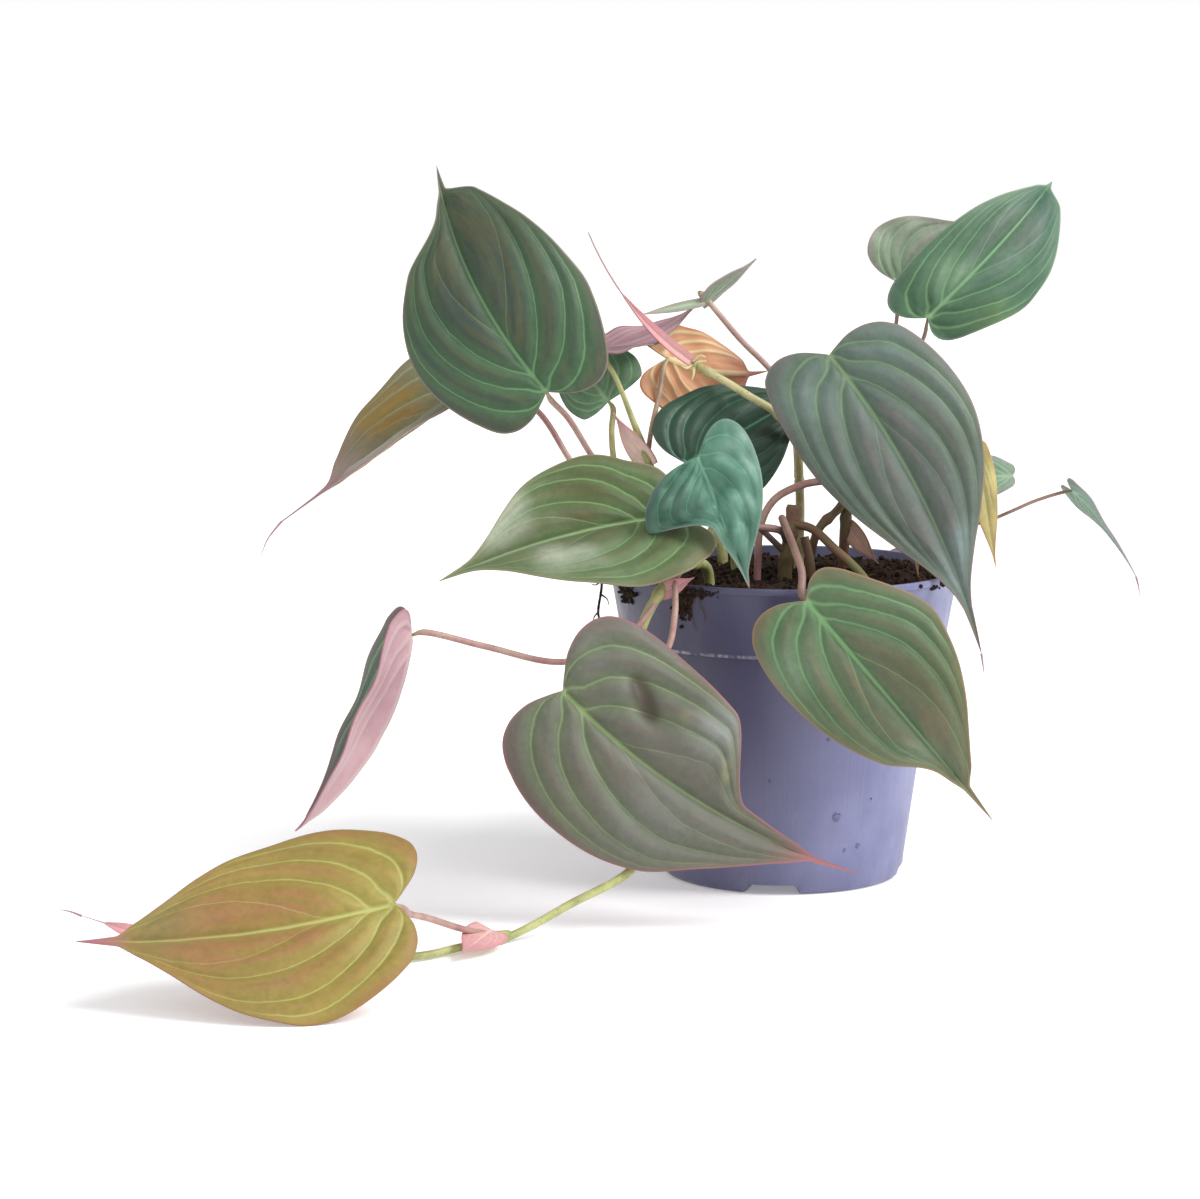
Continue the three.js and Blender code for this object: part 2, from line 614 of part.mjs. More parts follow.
const collarSlope = (rimRadius - collarFootRadius) / collarHeight;
const soilEdge = collarFootRadius - wall - clearance + (soilTop - collarFoot - 0.6) * collarSlope * 0.9;
const soilProfile = [
  [0, soilBottom],
  [insideRadius(soilBottom), soilBottom],
  [insideRadius(collarFoot - wall), collarFoot - wall + clearance],
  [collarFootRadius - wall - 1.3 * clearance, collarFoot + 0.6 + clearance],
  [soilEdge, soilTop],
  ...soilRings.toReversed().map((radius) => [radius, soilTop]),
  [0, soilTop],
];
const soilGeometry = turned(soilProfile, potSides / 2);
const soilPlace = soilGeometry.attributes.position;
for (let i = 0; i < soilPlace.count; i++) {
  const [x, y, z] = [soilPlace.getX(i), soilPlace.getY(i), soilPlace.getZ(i)];
  if (z < soilTop - 1 || Math.hypot(x, y) > soilEdge - 1) continue;
  const bumps = Math.sin(x * 0.31 + 1) * Math.cos(y * 0.27) + 0.6 * Math.sin(x * 0.13 - y * 0.41);
  soilPlace.setZ(i, z + soilRipple * bumps);
}
const soil = holes.reduce((block, hole) => block.subtract(hole), solidOf(soilGeometry));
addPiece("soil", soil, colours.soil, 0.95);

// A thin aerial root that hangs from a node of the left vine, beside the pot.
const rootPath = [
  [-60, 3, 136], [-60.7, -4, 127], [-61.5, -13, 114], [-62.5, -19, 101], [-63.5, -22, 92],
  [-61.5, -23, 88.5],
];
addPiece("aerial_root", clearOf(stem(rootPath, 0.7, 0.5, petioleSides), "vine_left"), colours.root);

export default plant;
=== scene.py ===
import math
import random

import bmesh
import bpy
from mathutils import Matrix, Vector, noise


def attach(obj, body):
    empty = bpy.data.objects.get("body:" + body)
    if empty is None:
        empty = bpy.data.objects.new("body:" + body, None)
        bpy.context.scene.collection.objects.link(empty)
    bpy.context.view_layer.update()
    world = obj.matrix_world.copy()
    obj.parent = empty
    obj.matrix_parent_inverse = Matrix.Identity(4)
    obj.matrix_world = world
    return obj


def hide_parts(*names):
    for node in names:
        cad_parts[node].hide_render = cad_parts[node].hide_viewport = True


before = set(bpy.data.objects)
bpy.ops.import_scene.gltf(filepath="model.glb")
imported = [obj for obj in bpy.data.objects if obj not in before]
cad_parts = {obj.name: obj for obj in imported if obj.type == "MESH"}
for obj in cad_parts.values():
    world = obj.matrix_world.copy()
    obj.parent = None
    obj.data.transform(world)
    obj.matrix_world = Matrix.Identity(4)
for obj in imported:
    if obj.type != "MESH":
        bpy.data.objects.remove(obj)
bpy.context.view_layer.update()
mm = 0.001  # everything below is measured in millimetres and scaled once


# Small helpers

def colour(text):
    # a hex colour as the linear values that the shaders take
    parts = [int(text[i:i + 2], 16) / 255 for i in (1, 3, 5)]
    return [c / 12.92 if c < 0.04045 else ((c + 0.055) / 1.055) ** 2.4 for c in parts] + [1]


def smoothstep(x, low, high):
    x = min(1, max(0, (x - low) / (high - low)))
    return x * x * (3 - 2 * x)


def tapering(start, end):
    # the radius of a tube that goes evenly from start to end
    return lambda distance, total: start + (end - start) * distance / total


def turned(profile, steps):
    # spins a profile of (radius, height) round the upright axis
    bm = bmesh.new()
    points = [bm.verts.new((r, 0, z)) for r, z in profile]
    edges = [bm.edges.new(pair) for pair in zip(points, points[1:])]
    bmesh.ops.spin(bm, geom=points + edges, cent=(0, 0, 0), axis=(0, 0, 1), angle=2 * math.pi,
                   steps=steps, use_merge=True, use_duplicate=False)
    bmesh.ops.remove_doubles(bm, verts=bm.verts, dist=0.001)
    return bm


def addObject(name, mesh):
    piece = bpy.data.objects.new(name, mesh)
    bpy.context.scene.collection.objects.link(piece)
    return piece


def finishPiece(bm, name, materials, slot, *nodes, smooth=True, sheet=False):
    # scales and dresses a piece; a sheet keeps the side that its faces look to
    if not sheet:
        bmesh.ops.recalc_face_normals(bm, faces=bm.faces)
    bmesh.ops.scale(bm, vec=(mm, mm, mm), verts=bm.verts)
    mesh = bpy.data.meshes.new(name)
    bm.to_mesh(mesh)
    bm.free()
    for material in materials:
        mesh.materials.append(material)
    if smooth:
        mesh.shade_smooth()
    piece = addObject(name, mesh)
    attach(piece, "root")
    if nodes:
        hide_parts(*nodes)
    return piece


# Shader helpers

def plug(tree, value, socket):
    # a socket is linked, and a number or a hex colour is set
    if isinstance(value, bpy.types.NodeSocket):
        tree.links.new(value, socket)
    else:
        socket.default_value = colour(value) if isinstance(value, str) else value


def newMaterial(name, **values):
    material = bpy.data.materials.new(name)
    material.use_nodes = True
    tree = material.node_tree
    shader = tree.nodes["Principled BSDF"]
    for label, value in values.items():
        plug(tree, value, shader.inputs[label.replace("_", " ")])
    return material, tree, shader


def addNode(tree, kind, **settings):
    node = tree.nodes.new("ShaderNode" + kind)
    for label, value in settings.items():
        setattr(node, label, value)
    return node


def addFilled(tree, kind, *values, **settings):
    # a node whose first sockets take the values
    node = addNode(tree, kind, **settings)
    for socket, value in zip(node.inputs, values):
        plug(tree, value, socket)
    return node.outputs


def stretched(tree, place, *amounts):
    return addFilled(tree, "VectorMath", place, amounts, operation="MULTIPLY")[0]


def maths(tree, operation, *values):
    return addFilled(tree, "Math", *values, operation=operation)[0]


def times(tree, first, second):
    return maths(tree, "MULTIPLY", first, second)


def plus(tree, first, second):
    return maths(tree, "ADD", first, second)


def fade(tree, value, low, high, start=0.0, end=1.0):
    # goes smoothly from start at low to end at high
    return addFilled(
        tree, "MapRange", value, low, high, start, end, interpolation_type="SMOOTHSTEP")[0]


def layered(tree, skin, *layers):
    # lays each colour over the ones below it, by its mask
    for mask, tint in layers:
        node = addNode(tree, "Mix", data_type="RGBA")
        plug(tree, mask, node.inputs[0])
        plug(tree, skin, node.inputs[6])
        plug(tree, tint, node.inputs[7])
        skin = node.outputs[2]
    return skin


def textured(tree, kind, place, **values):
    node = addNode(tree, kind)
    plug(tree, place, node.inputs["Vector"])
    for label, value in values.items():
        plug(tree, value, node.inputs[label])
    return node.outputs


def speckle(tree, place, scale, detail=2.0, roughness=0.5, distortion=0.0):
    return textured(tree, "TexNoise", place, Scale=scale, Detail=detail, Roughness=roughness,
                    Distortion=distortion)[0]


def brightened(tree, skin, amount):
    node = addNode(tree, "HueSaturation")
    plug(tree, amount, node.inputs["Value"])
    plug(tree, skin, node.inputs["Color"])
    return node.outputs[0]


def carried(tree, name, kind="Fac"):
    # what the mesh's points carry under that name
    return addNode(tree, "Attribute", attribute_name=name).outputs[kind]


def objectPlace(tree):
    return addNode(tree, "TexCoord").outputs["Object"]


def relief(tree, shader, height, strength, distance):
    bump = addNode(tree, "Bump")
    for label, value in (("Strength", strength), ("Distance", distance), ("Height", height)):
        plug(tree, value, bump.inputs[label])
    plug(tree, bump.outputs[0], shader.inputs["Normal"])


def startGroup(name, inputs, outputs):
    group = bpy.data.node_groups.new(name, "ShaderNodeTree")
    for label, value in inputs.items():
        kind = "NodeSocketColor" if isinstance(value, str) else "NodeSocketFloat"
        plug(group, value, group.interface.new_socket(label, in_out="INPUT", socket_type=kind))
    for label in outputs:
        kind = "NodeSocketColor" if label == "Color" else "NodeSocketFloat"
        group.interface.new_socket(label, in_out="OUTPUT", socket_type=kind)
    return group, group.nodes.new("NodeGroupInput").outputs, group.nodes.new("NodeGroupOutput").inputs


def useGroup(tree, shader, group, values):
    # places the group with the values that it has inputs for, and dresses the shader with it
    node = tree.nodes.new("ShaderNodeGroup")
    node.node_tree = group
    for label, value in values.items():
        if label in node.inputs:
            plug(tree, value, node.inputs[label])
    plug(tree, node.outputs["Color"], shader.inputs["Base Color"])
    if "Roughness" in node.outputs:
        plug(tree, node.outputs["Roughness"], shader.inputs["Roughness"])
    return node.outputs["Height"]


def makeBlotched(name, scale, first, second, detail=3, **values):
    # a plain material that wanders between two colours
    material, tree, shader = newMaterial(name, **values)
    blotch = speckle(tree, objectPlace(tree), scale, detail)
    plug(tree, layered(tree, first, (blotch, second)), shader.inputs["Base Color"])
    return material


# Velvet leaf colours, drawn round the veins. The mesh carries how far each point lies from its veins.

leafInputs = {
    "Field": "#3f6048", "Bronze": "#5a5c50", "Halo": "#3f7048", "Vein": "#6fb07c", "Margin": "#b09a86",
    "Tip": "#6d7a6c", "Pale": "#8d9c94", "Deep": "#3f4436",
    "Bronze Share": 0.7, "Vein Width": 1.0, "Vein Strength": 0.8, "Tip Start": 0.93, "Blush": 0.2,
}


def readBlade(tree):
    # offsets from three veins, those from the faint vein, midrib and margin, and the place along
    near = addFilled(tree, "SeparateXYZ", carried(tree, "veinsNear", "Vector"))
    ribs = addFilled(tree, "SeparateXYZ", carried(tree, "ribs", "Vector"))
    along = addFilled(tree, "SeparateXYZ", addNode(tree, "UVMap", uv_map="blade").outputs[0])[0]
    return near, ribs, along


def nearestOf(tree, offsets):
    return maths(tree, "MINIMUM", maths(tree, "MINIMUM", offsets[0], offsets[1]), offsets[2])


def makeLeafPattern():
    tree, given, made = startGroup("leafPattern", leafInputs, ("Color", "Roughness", "Height"))
    place = objectPlace(tree)
    near, (faintRun, midrib, edge), along = readBlade(tree)
    wobble = times(tree, maths(tree, "SUBTRACT", speckle(tree, place, 260, 3), 0.5), 0.9)
    offsets = [maths(tree, "ABSOLUTE", plus(tree, run, wobble)) for run in (*near, faintRun)]
    nearest = nearestOf(tree, offsets)
    taper = times(tree, given["Vein Width"], fade(tree, along, 0.05, 0.9, 1.25, 0.4))
    line = fade(tree, maths(tree, "DIVIDE", nearest, taper), 0.0, 0.85, 1, 0)
    line = times(tree, line, fade(tree, edge, 0.5, 2.5))
    line = times(tree, line, fade(tree, along, 0.4, 0.9, 1, 0.4))
    faint = fade(tree, maths(tree, "DIVIDE", offsets[3], taper), 0.05, 0.6, 0.3, 0)
    rib = fade(tree, maths(tree, "DIVIDE", midrib, taper), 0.1, 1.6, 1.1, 0)
    rib = times(tree, rib, fade(tree, along, 0.35, 0.95, 1, 0.45))
    closest = maths(tree, "MINIMUM", nearest, midrib)
    halo = times(tree, fade(tree, closest, 0.2, 5.0, 1, 0), fade(tree, along, 0.3, 0.85, 1, 0.3))

    # streaks that run with the veins, between them
    streakPlace = addFilled(
        tree, "CombineXYZ", times(tree, near[0], 0.35), times(tree, along, 5), times(tree, near[1], 0.12))
    streak = speckle(tree, streakPlace[0], 1.0, 3, 0.6)
    cloud = speckle(tree, place, 38, 3, 0.55)
    mottle = speckle(tree, place, 420, 3, 0.7)
    patches = plus(tree, times(tree, streak, 0.7), times(tree, cloud, 0.5))
    between = times(tree, fade(tree, patches, 0.45, 0.75), given["Bronze Share"])
    between = times(tree, between, maths(tree, "SUBTRACT", 1.15, halo))
    # soft spots on each blade: the paler ones, in the Pale colour, are mostly painted sheen and highlights,
    # and the darker ones, in the Deep colour, are partly painted shade and partly the leaf's own tone
    glow = carried(tree, "glow")
    skin = layered(
        tree, given["Field"],
        (between, given["Bronze"]),
        (fade(tree, glow, 0.0, 1.0, 0, 0.9), given["Pale"]),
        (fade(tree, glow, -1.0, 0.0, 0.9, 0), given["Deep"]),
        (times(tree, halo, 0.65), given["Halo"]))
    uneven = plus(tree, times(tree, mottle, 0.5), times(tree, streak, 0.5))
    creaseShadeAndBruise = carried(tree, "creaseShadeAndBruise")
    skin = layered(
        tree, brightened(tree, skin, fade(tree, uneven, 0.3, 0.7, 0.85, 1.13)),
        (times(tree, fade(tree, edge, 0, 6, 1, 0), given["Blush"]), given["Margin"]),
        (faint, given["Vein"]),
        (times(tree, line, given["Vein Strength"]), given["Vein"]),
        (times(tree, rib, plus(tree, given["Vein Strength"], 0.2)), given["Vein"]),
        # darker brown where the skin sinks into a crease, as painted shade and partly a bruise, and paler
        # where it bulges, as painted light
        (fade(tree, creaseShadeAndBruise, 0.15, 1.0, 0, 0.65), "#42352a"),
        (fade(tree, creaseShadeAndBruise, -1.0, -0.15, 0.6, 0), "#a8a078"),
        (fade(tree, edge, 0.2, 0.7, 0.75, 0), given["Margin"]),
        (fade(tree, along, given["Tip Start"], 1.0), given["Tip"]))
    plug(tree, skin, made["Color"])
    sheer = plus(tree, mottle, times(tree, line, -0.3))
    plug(tree, fade(tree, sheer, 0.2, 0.8, 0.42, 0.62), made["Roughness"])
    velvet = times(tree, speckle(tree, place, 2600, 2, 0.6), 0.35)
    net = plus(tree, velvet, times(tree, speckle(tree, place, 700, 2, 0.5), 0.5))
    plug(tree, maths(tree, "SUBTRACT", net, times(tree, line, 0.5)), made["Height"])
    return tree


undersideInputs = {
    "Flesh": "#b98f96", "Rib": "#c9b0a8", "Margin": "#a8707c", "Tip": "#a8707c", "Tip Start": 0.93}


def makeUndersidePattern():
    tree, given, made = startGroup("undersidePattern", undersideInputs, ("Color", "Height"))
    place = objectPlace(tree)
    near, ribs, along = readBlade(tree)
    nearest = nearestOf(tree, [maths(tree, "ABSOLUTE", run) for run in near])
    midrib = fade(tree, ribs[1], 0.6, 1.5, 1, 0)
    line = maths(tree, "MAXIMUM", fade(tree, nearest, 0.2, 0.9, 0.8, 0), midrib)
    cloud = speckle(tree, place, 60, 4, 0.6)
    skin = layered(
        tree, given["Flesh"],
        (fade(tree, cloud, 0.35, 0.7, 0, 0.45), given["Margin"]),
        (line, given["Rib"]))
    # the same spots brighten and darken the underside, partly as painted sheen and shade
    skin = layered(
        tree, brightened(tree, skin, fade(tree, carried(tree, "glow"), -1.0, 1.0, 0.45, 1.55)),
        (fade(tree, ribs[2], 0.2, 1.2, 0.6, 0), given["Margin"]),
        (fade(tree, along, given["Tip Start"], 1.0), given["Tip"]))
    plug(tree, skin, made["Color"])
    plug(tree, plus(tree, times(tree, speckle(tree, place, 900, 3, 0.6), 0.4), line), made["Height"])
    return tree


leafPattern = makeLeafPattern()
undersidePattern = makeUndersidePattern()

# Each look is one kind of leaf: its colours in the order of these names, and the strengths of its masks
# of these, Pale is mostly a painted sheen and Deep partly a painted shade
lookColours = ("Field", "Bronze", "Halo", "Vein", "Margin", "Tip", "Flesh", "Rib", "Pale", "Deep")
leafLooks = {
    "deepGreen": {
        "colours": "#3a4b40 #4f5238 #466c45 #78a071 #8d7d70 #5d6a66 #a2808a #a9a596 #66796f #303a34",
        "Bronze Share": 0.8, "Vein Width": 0.7, "Vein Strength": 0.55, "Blush": 0.08},
    "slateGreen": {
        "colours": "#5c6c66 #696661 #5a7059 #8aa67c #8d7a6e #75645f #a8828c #b3a396 #8ea3a2 #565a4c",
        "Bronze Share": 0.75, "Vein Width": 0.75, "Vein Strength": 0.45, "Blush": 0.1},
    "frontGreen": {
        "colours": "#62645a #625c52 #5f6b4e #8ba36a #a0646a #a0646a #b0808c #b3a396 #9a9f9e #42402f",
        "Bronze Share": 0.75, "Vein Width": 0.75, "Vein Strength": 0.45, "Tip Start": 0.78, "Blush": 0.1},
    "bronzeGreen": {
        "colours": "#58654f #68624a #4f744c #86b37c #96785c #8a6c58 #a8828c #b3a396 #8b9d86 #58553a",
        "Bronze Share": 0.8, "Vein Width": 0.9, "Vein Strength": 0.45},
    "oliveGreen": {
        "colours": "#586848 #62643f #5c7a4a #9fbc86 #8e8468 #6f7a5c #a8828c #b3a396 #b3b8a6 #4c4b2a",
        "Bronze Share": 0.9, "Vein Width": 0.75, "Vein Strength": 0.4, "Blush": 0.12},
    "ochre": {
        "colours": "#927c3c #956c45 #948b44 #b9bb72 #96784e #a8687a #b98a80 #c4a884 #b3ab5e #7f7850",
        "Bronze Share": 0.9, "Vein Width": 0.8, "Vein Strength": 0.6, "Tip Start": 0.86, "Blush": 0.1},
    "fadedOchre": {
        "colours": "#6f7562 #7d704a #7f8058 #989c74 #8f7664 #a8848a #a89088 #b0a484 #b0b3a8 #8a6820",
        "Bronze Share": 1.0, "Tip Start": 0.6},
    "freshGreen": {
        "colours": "#47685a #5f6c60 #537b51 #93bd8f #84997e #64866c #8f8a80 #9aac8a #a6c4a4 #6a8048",
        "Bronze Share": 0.9, "Vein Width": 0.7, "Vein Strength": 0.5, "Blush": 0.1},
    "tealGreen": {
        "colours": "#6f8f74 #7c9280 #6f9a72 #a0c79c #6f8478 #5c7468 #8f8a80 #9aac8a #8fb094 #36544a",
        "Vein Width": 0.8, "Vein Strength": 0.6, "Blush": 0.1},
    "greyGreen": {
        "colours": "#84907f #8f8a86 #7a9676 #a3b896 #a08c88 #8f8a88 #a39a94 #a9a596",
        "Bronze Share": 0.8, "Vein Width": 0.7, "Vein Strength": 0.5},
    "paleGreen": {
        "colours": "#8cab96 #9aa79c #8ab090 #a8c4a8 #a89ca4 #b3a8b6 #9fae9e #b0b8a4 #a9c0ac #5f8a70",
        "Vein Width": 0.6, "Tip Start": 0.55},
    "darkGreen": {
        "colours": "#24402f #31493a #1f4a34 #3f7656 #4a5a4c #6b4a48 #8a5a5c #8a7a6a #58705c #141f16",
        "Bronze Share": 0.6, "Vein Width": 0.7, "Vein Strength": 0.45, "Blush": 0.1,
        "shine": 0.45, "sheen": 0.12},
    "jadeGreen": {
        "colours": "#4c7a68 #638c7c #4f8068 #7fae92 #738c80 #b07e74 #9a8a86 #9aa890 #9dbcb2 #3c5048",
        "Bronze Share": 0.8, "Vein Width": 0.45, "Vein Strength": 0.4, "Tip Start": 0.9, "Blush": 0.1,
        "shine": 0.45, "sheen": 0.12},
    "coral": {
        "colours": "#c4a276 #c08c64 #d8c294 #e0d3a0 #bb6644 #865648 #cfa07a #dcc698 #dccda0 #c07450",
        "Bronze Share": 0.9, "Vein Width": 0.9, "Tip Start": 0.58},
    "rose": {
        "colours": "#55645e #6a6664 #58745a #86a67a #a8707c #a8707c #c4a2a8 #c8aeae",
        "Vein Width": 0.8},
    "deepRose": {
        "colours": "#6c7470 #7c7676 #6c8068 #93a888 #98606c #7f8480 #b48c96 #b99ca0",
        "Vein Width": 0.8},
    "olive": {
        "colours": "#dfd490 #d2c288 #d8d08c #dcd694 #c9a570 #c09a7a #e6dc98 #e2d88c",
        "Vein Width": 0.7},
    "sheath": {
        "colours": "#d79aa2 #c98089 #dcb0a8 #e3c2b8 #cf8790 #b8938f #d9a4a6 #dcd0a0",
        "Bronze Share": 0.8, "Vein Width": 0.4, "Tip Start": 0.6},
    "witheredSheath": {
        "colours": "#d8b49c #c79684 #dcc0a8 #e3c2b8 #a8705c #b8938f #d3ac98 #dcd0a0",
        "Bronze Share": 0.8, "Vein Width": 0.4, "Tip Start": 0.6},
    "paleSheath": {
        "colours": "#f4d8cc #eab4b0 #f4e6cc #e3c2b8 #d98f96 #b8938f #d9a4a6 #dcd0a0",
        "Bronze Share": 0.8, "Vein Width": 0.4, "Tip Start": 0.6},
}


def makeLeafMaterials(look):
    values = {**dict(zip(lookColours, look["colours"].split())), **look}
    name = look["name"]
    upper, tree, shader = newMaterial(
        name + "Upper", Specular_IOR_Level=look.get("shine", 0.32), Sheen_Weight=look.get("sheen", 0.3),
        Sheen_Roughness=0.35, Sheen_Tint="#e2e6e8")
    relief(tree, shader, useGroup(tree, shader, leafPattern, values), 0.5, 0.00025)
    under, tree, shader = newMaterial(
        name + "Under", Specular_IOR_Level=0.3, Roughness=0.55, Sheen_Weight=0.15, Sheen_Roughness=0.4)
    relief(tree, shader, useGroup(tree, shader, undersidePattern, values), 0.6, 0.0003)
    rim = makeBlotched(
        name + "Rim", 120, values["Margin"], values["Tip"], Specular_IOR_Level=0.3, Roughness=0.5)
    return [upper, under, rim]


leafMaterials = {name: makeLeafMaterials({"name": name, **look}) for name, look in leafLooks.items()}
print("leaf materials made")

# Leaves

# One half of a heart-shaped blade: place on the margin (along, across) and on the midrib (along)
outlineRows = (
    (0, 0, 0), (-0.03, 0.12, 0.015), (-0.07, 0.32, 0.04), (-0.08, 0.55, 0.075),
    (-0.045, 0.76, 0.12), (0.05, 0.93, 0.18), (0.19, 1.0, 0.27), (0.36, 0.95, 0.39),
    (0.52, 0.78, 0.51), (0.66, 0.53, 0.63), (0.78, 0.28, 0.75), (0.88, 0.11, 0.86),
    (0.95, 0.05, 0.94), (1, 0, 1))

bladeDefaults = {
    "slot": "leaf_green",
    "face": 0,  # degrees that the upper face is turned about the midrib
    "sag": 0,  # how far the midrib bows towards the upper face
    "bend": 0,  # how far the midrib bows sideways
    "fold": 12,  # degrees that each half rises from the midrib
    "curl": 30,  # degrees that the halves turn down again by the margin
    "wave": 1,  # height of the ripple along the margin
    "lobe": 1,  # depth of the lobes behind the notch
    "uneven": 0,  # share by which one half is wider
    "cant": 0,  # how far the lines across lean back on one half
    "tail": 0,  # share of the length that is a drip tip
    # the next three may be pairs, the first for the half that lies left of the way to the tip
    "full": 0,  # how much rounder the outline is towards the tip
    "pinch": 0,  # share by which it is narrower at the lobes
    "slim": 0,  # share by which it is narrower towards the tip
    "slimFrom": (0.27, 0.51),  # where along the midrib it starts to be narrower, and has become so
    "groove": 0.7,  # depth of the vein valleys
    "puff": 1.5,  # how far the skin between the veins swells
    "crinkle": 0.15,  # height of small random buckles
    "dents": (),  # (along, across, radius, depth) of single creases
    # paler spots are mostly painted sheen and highlights; darker spots are partly painted shade and partly
    # the leaf's own tone
    "glows": (),  # (along, across, radius, amount) of paler regions, or darker ones
}
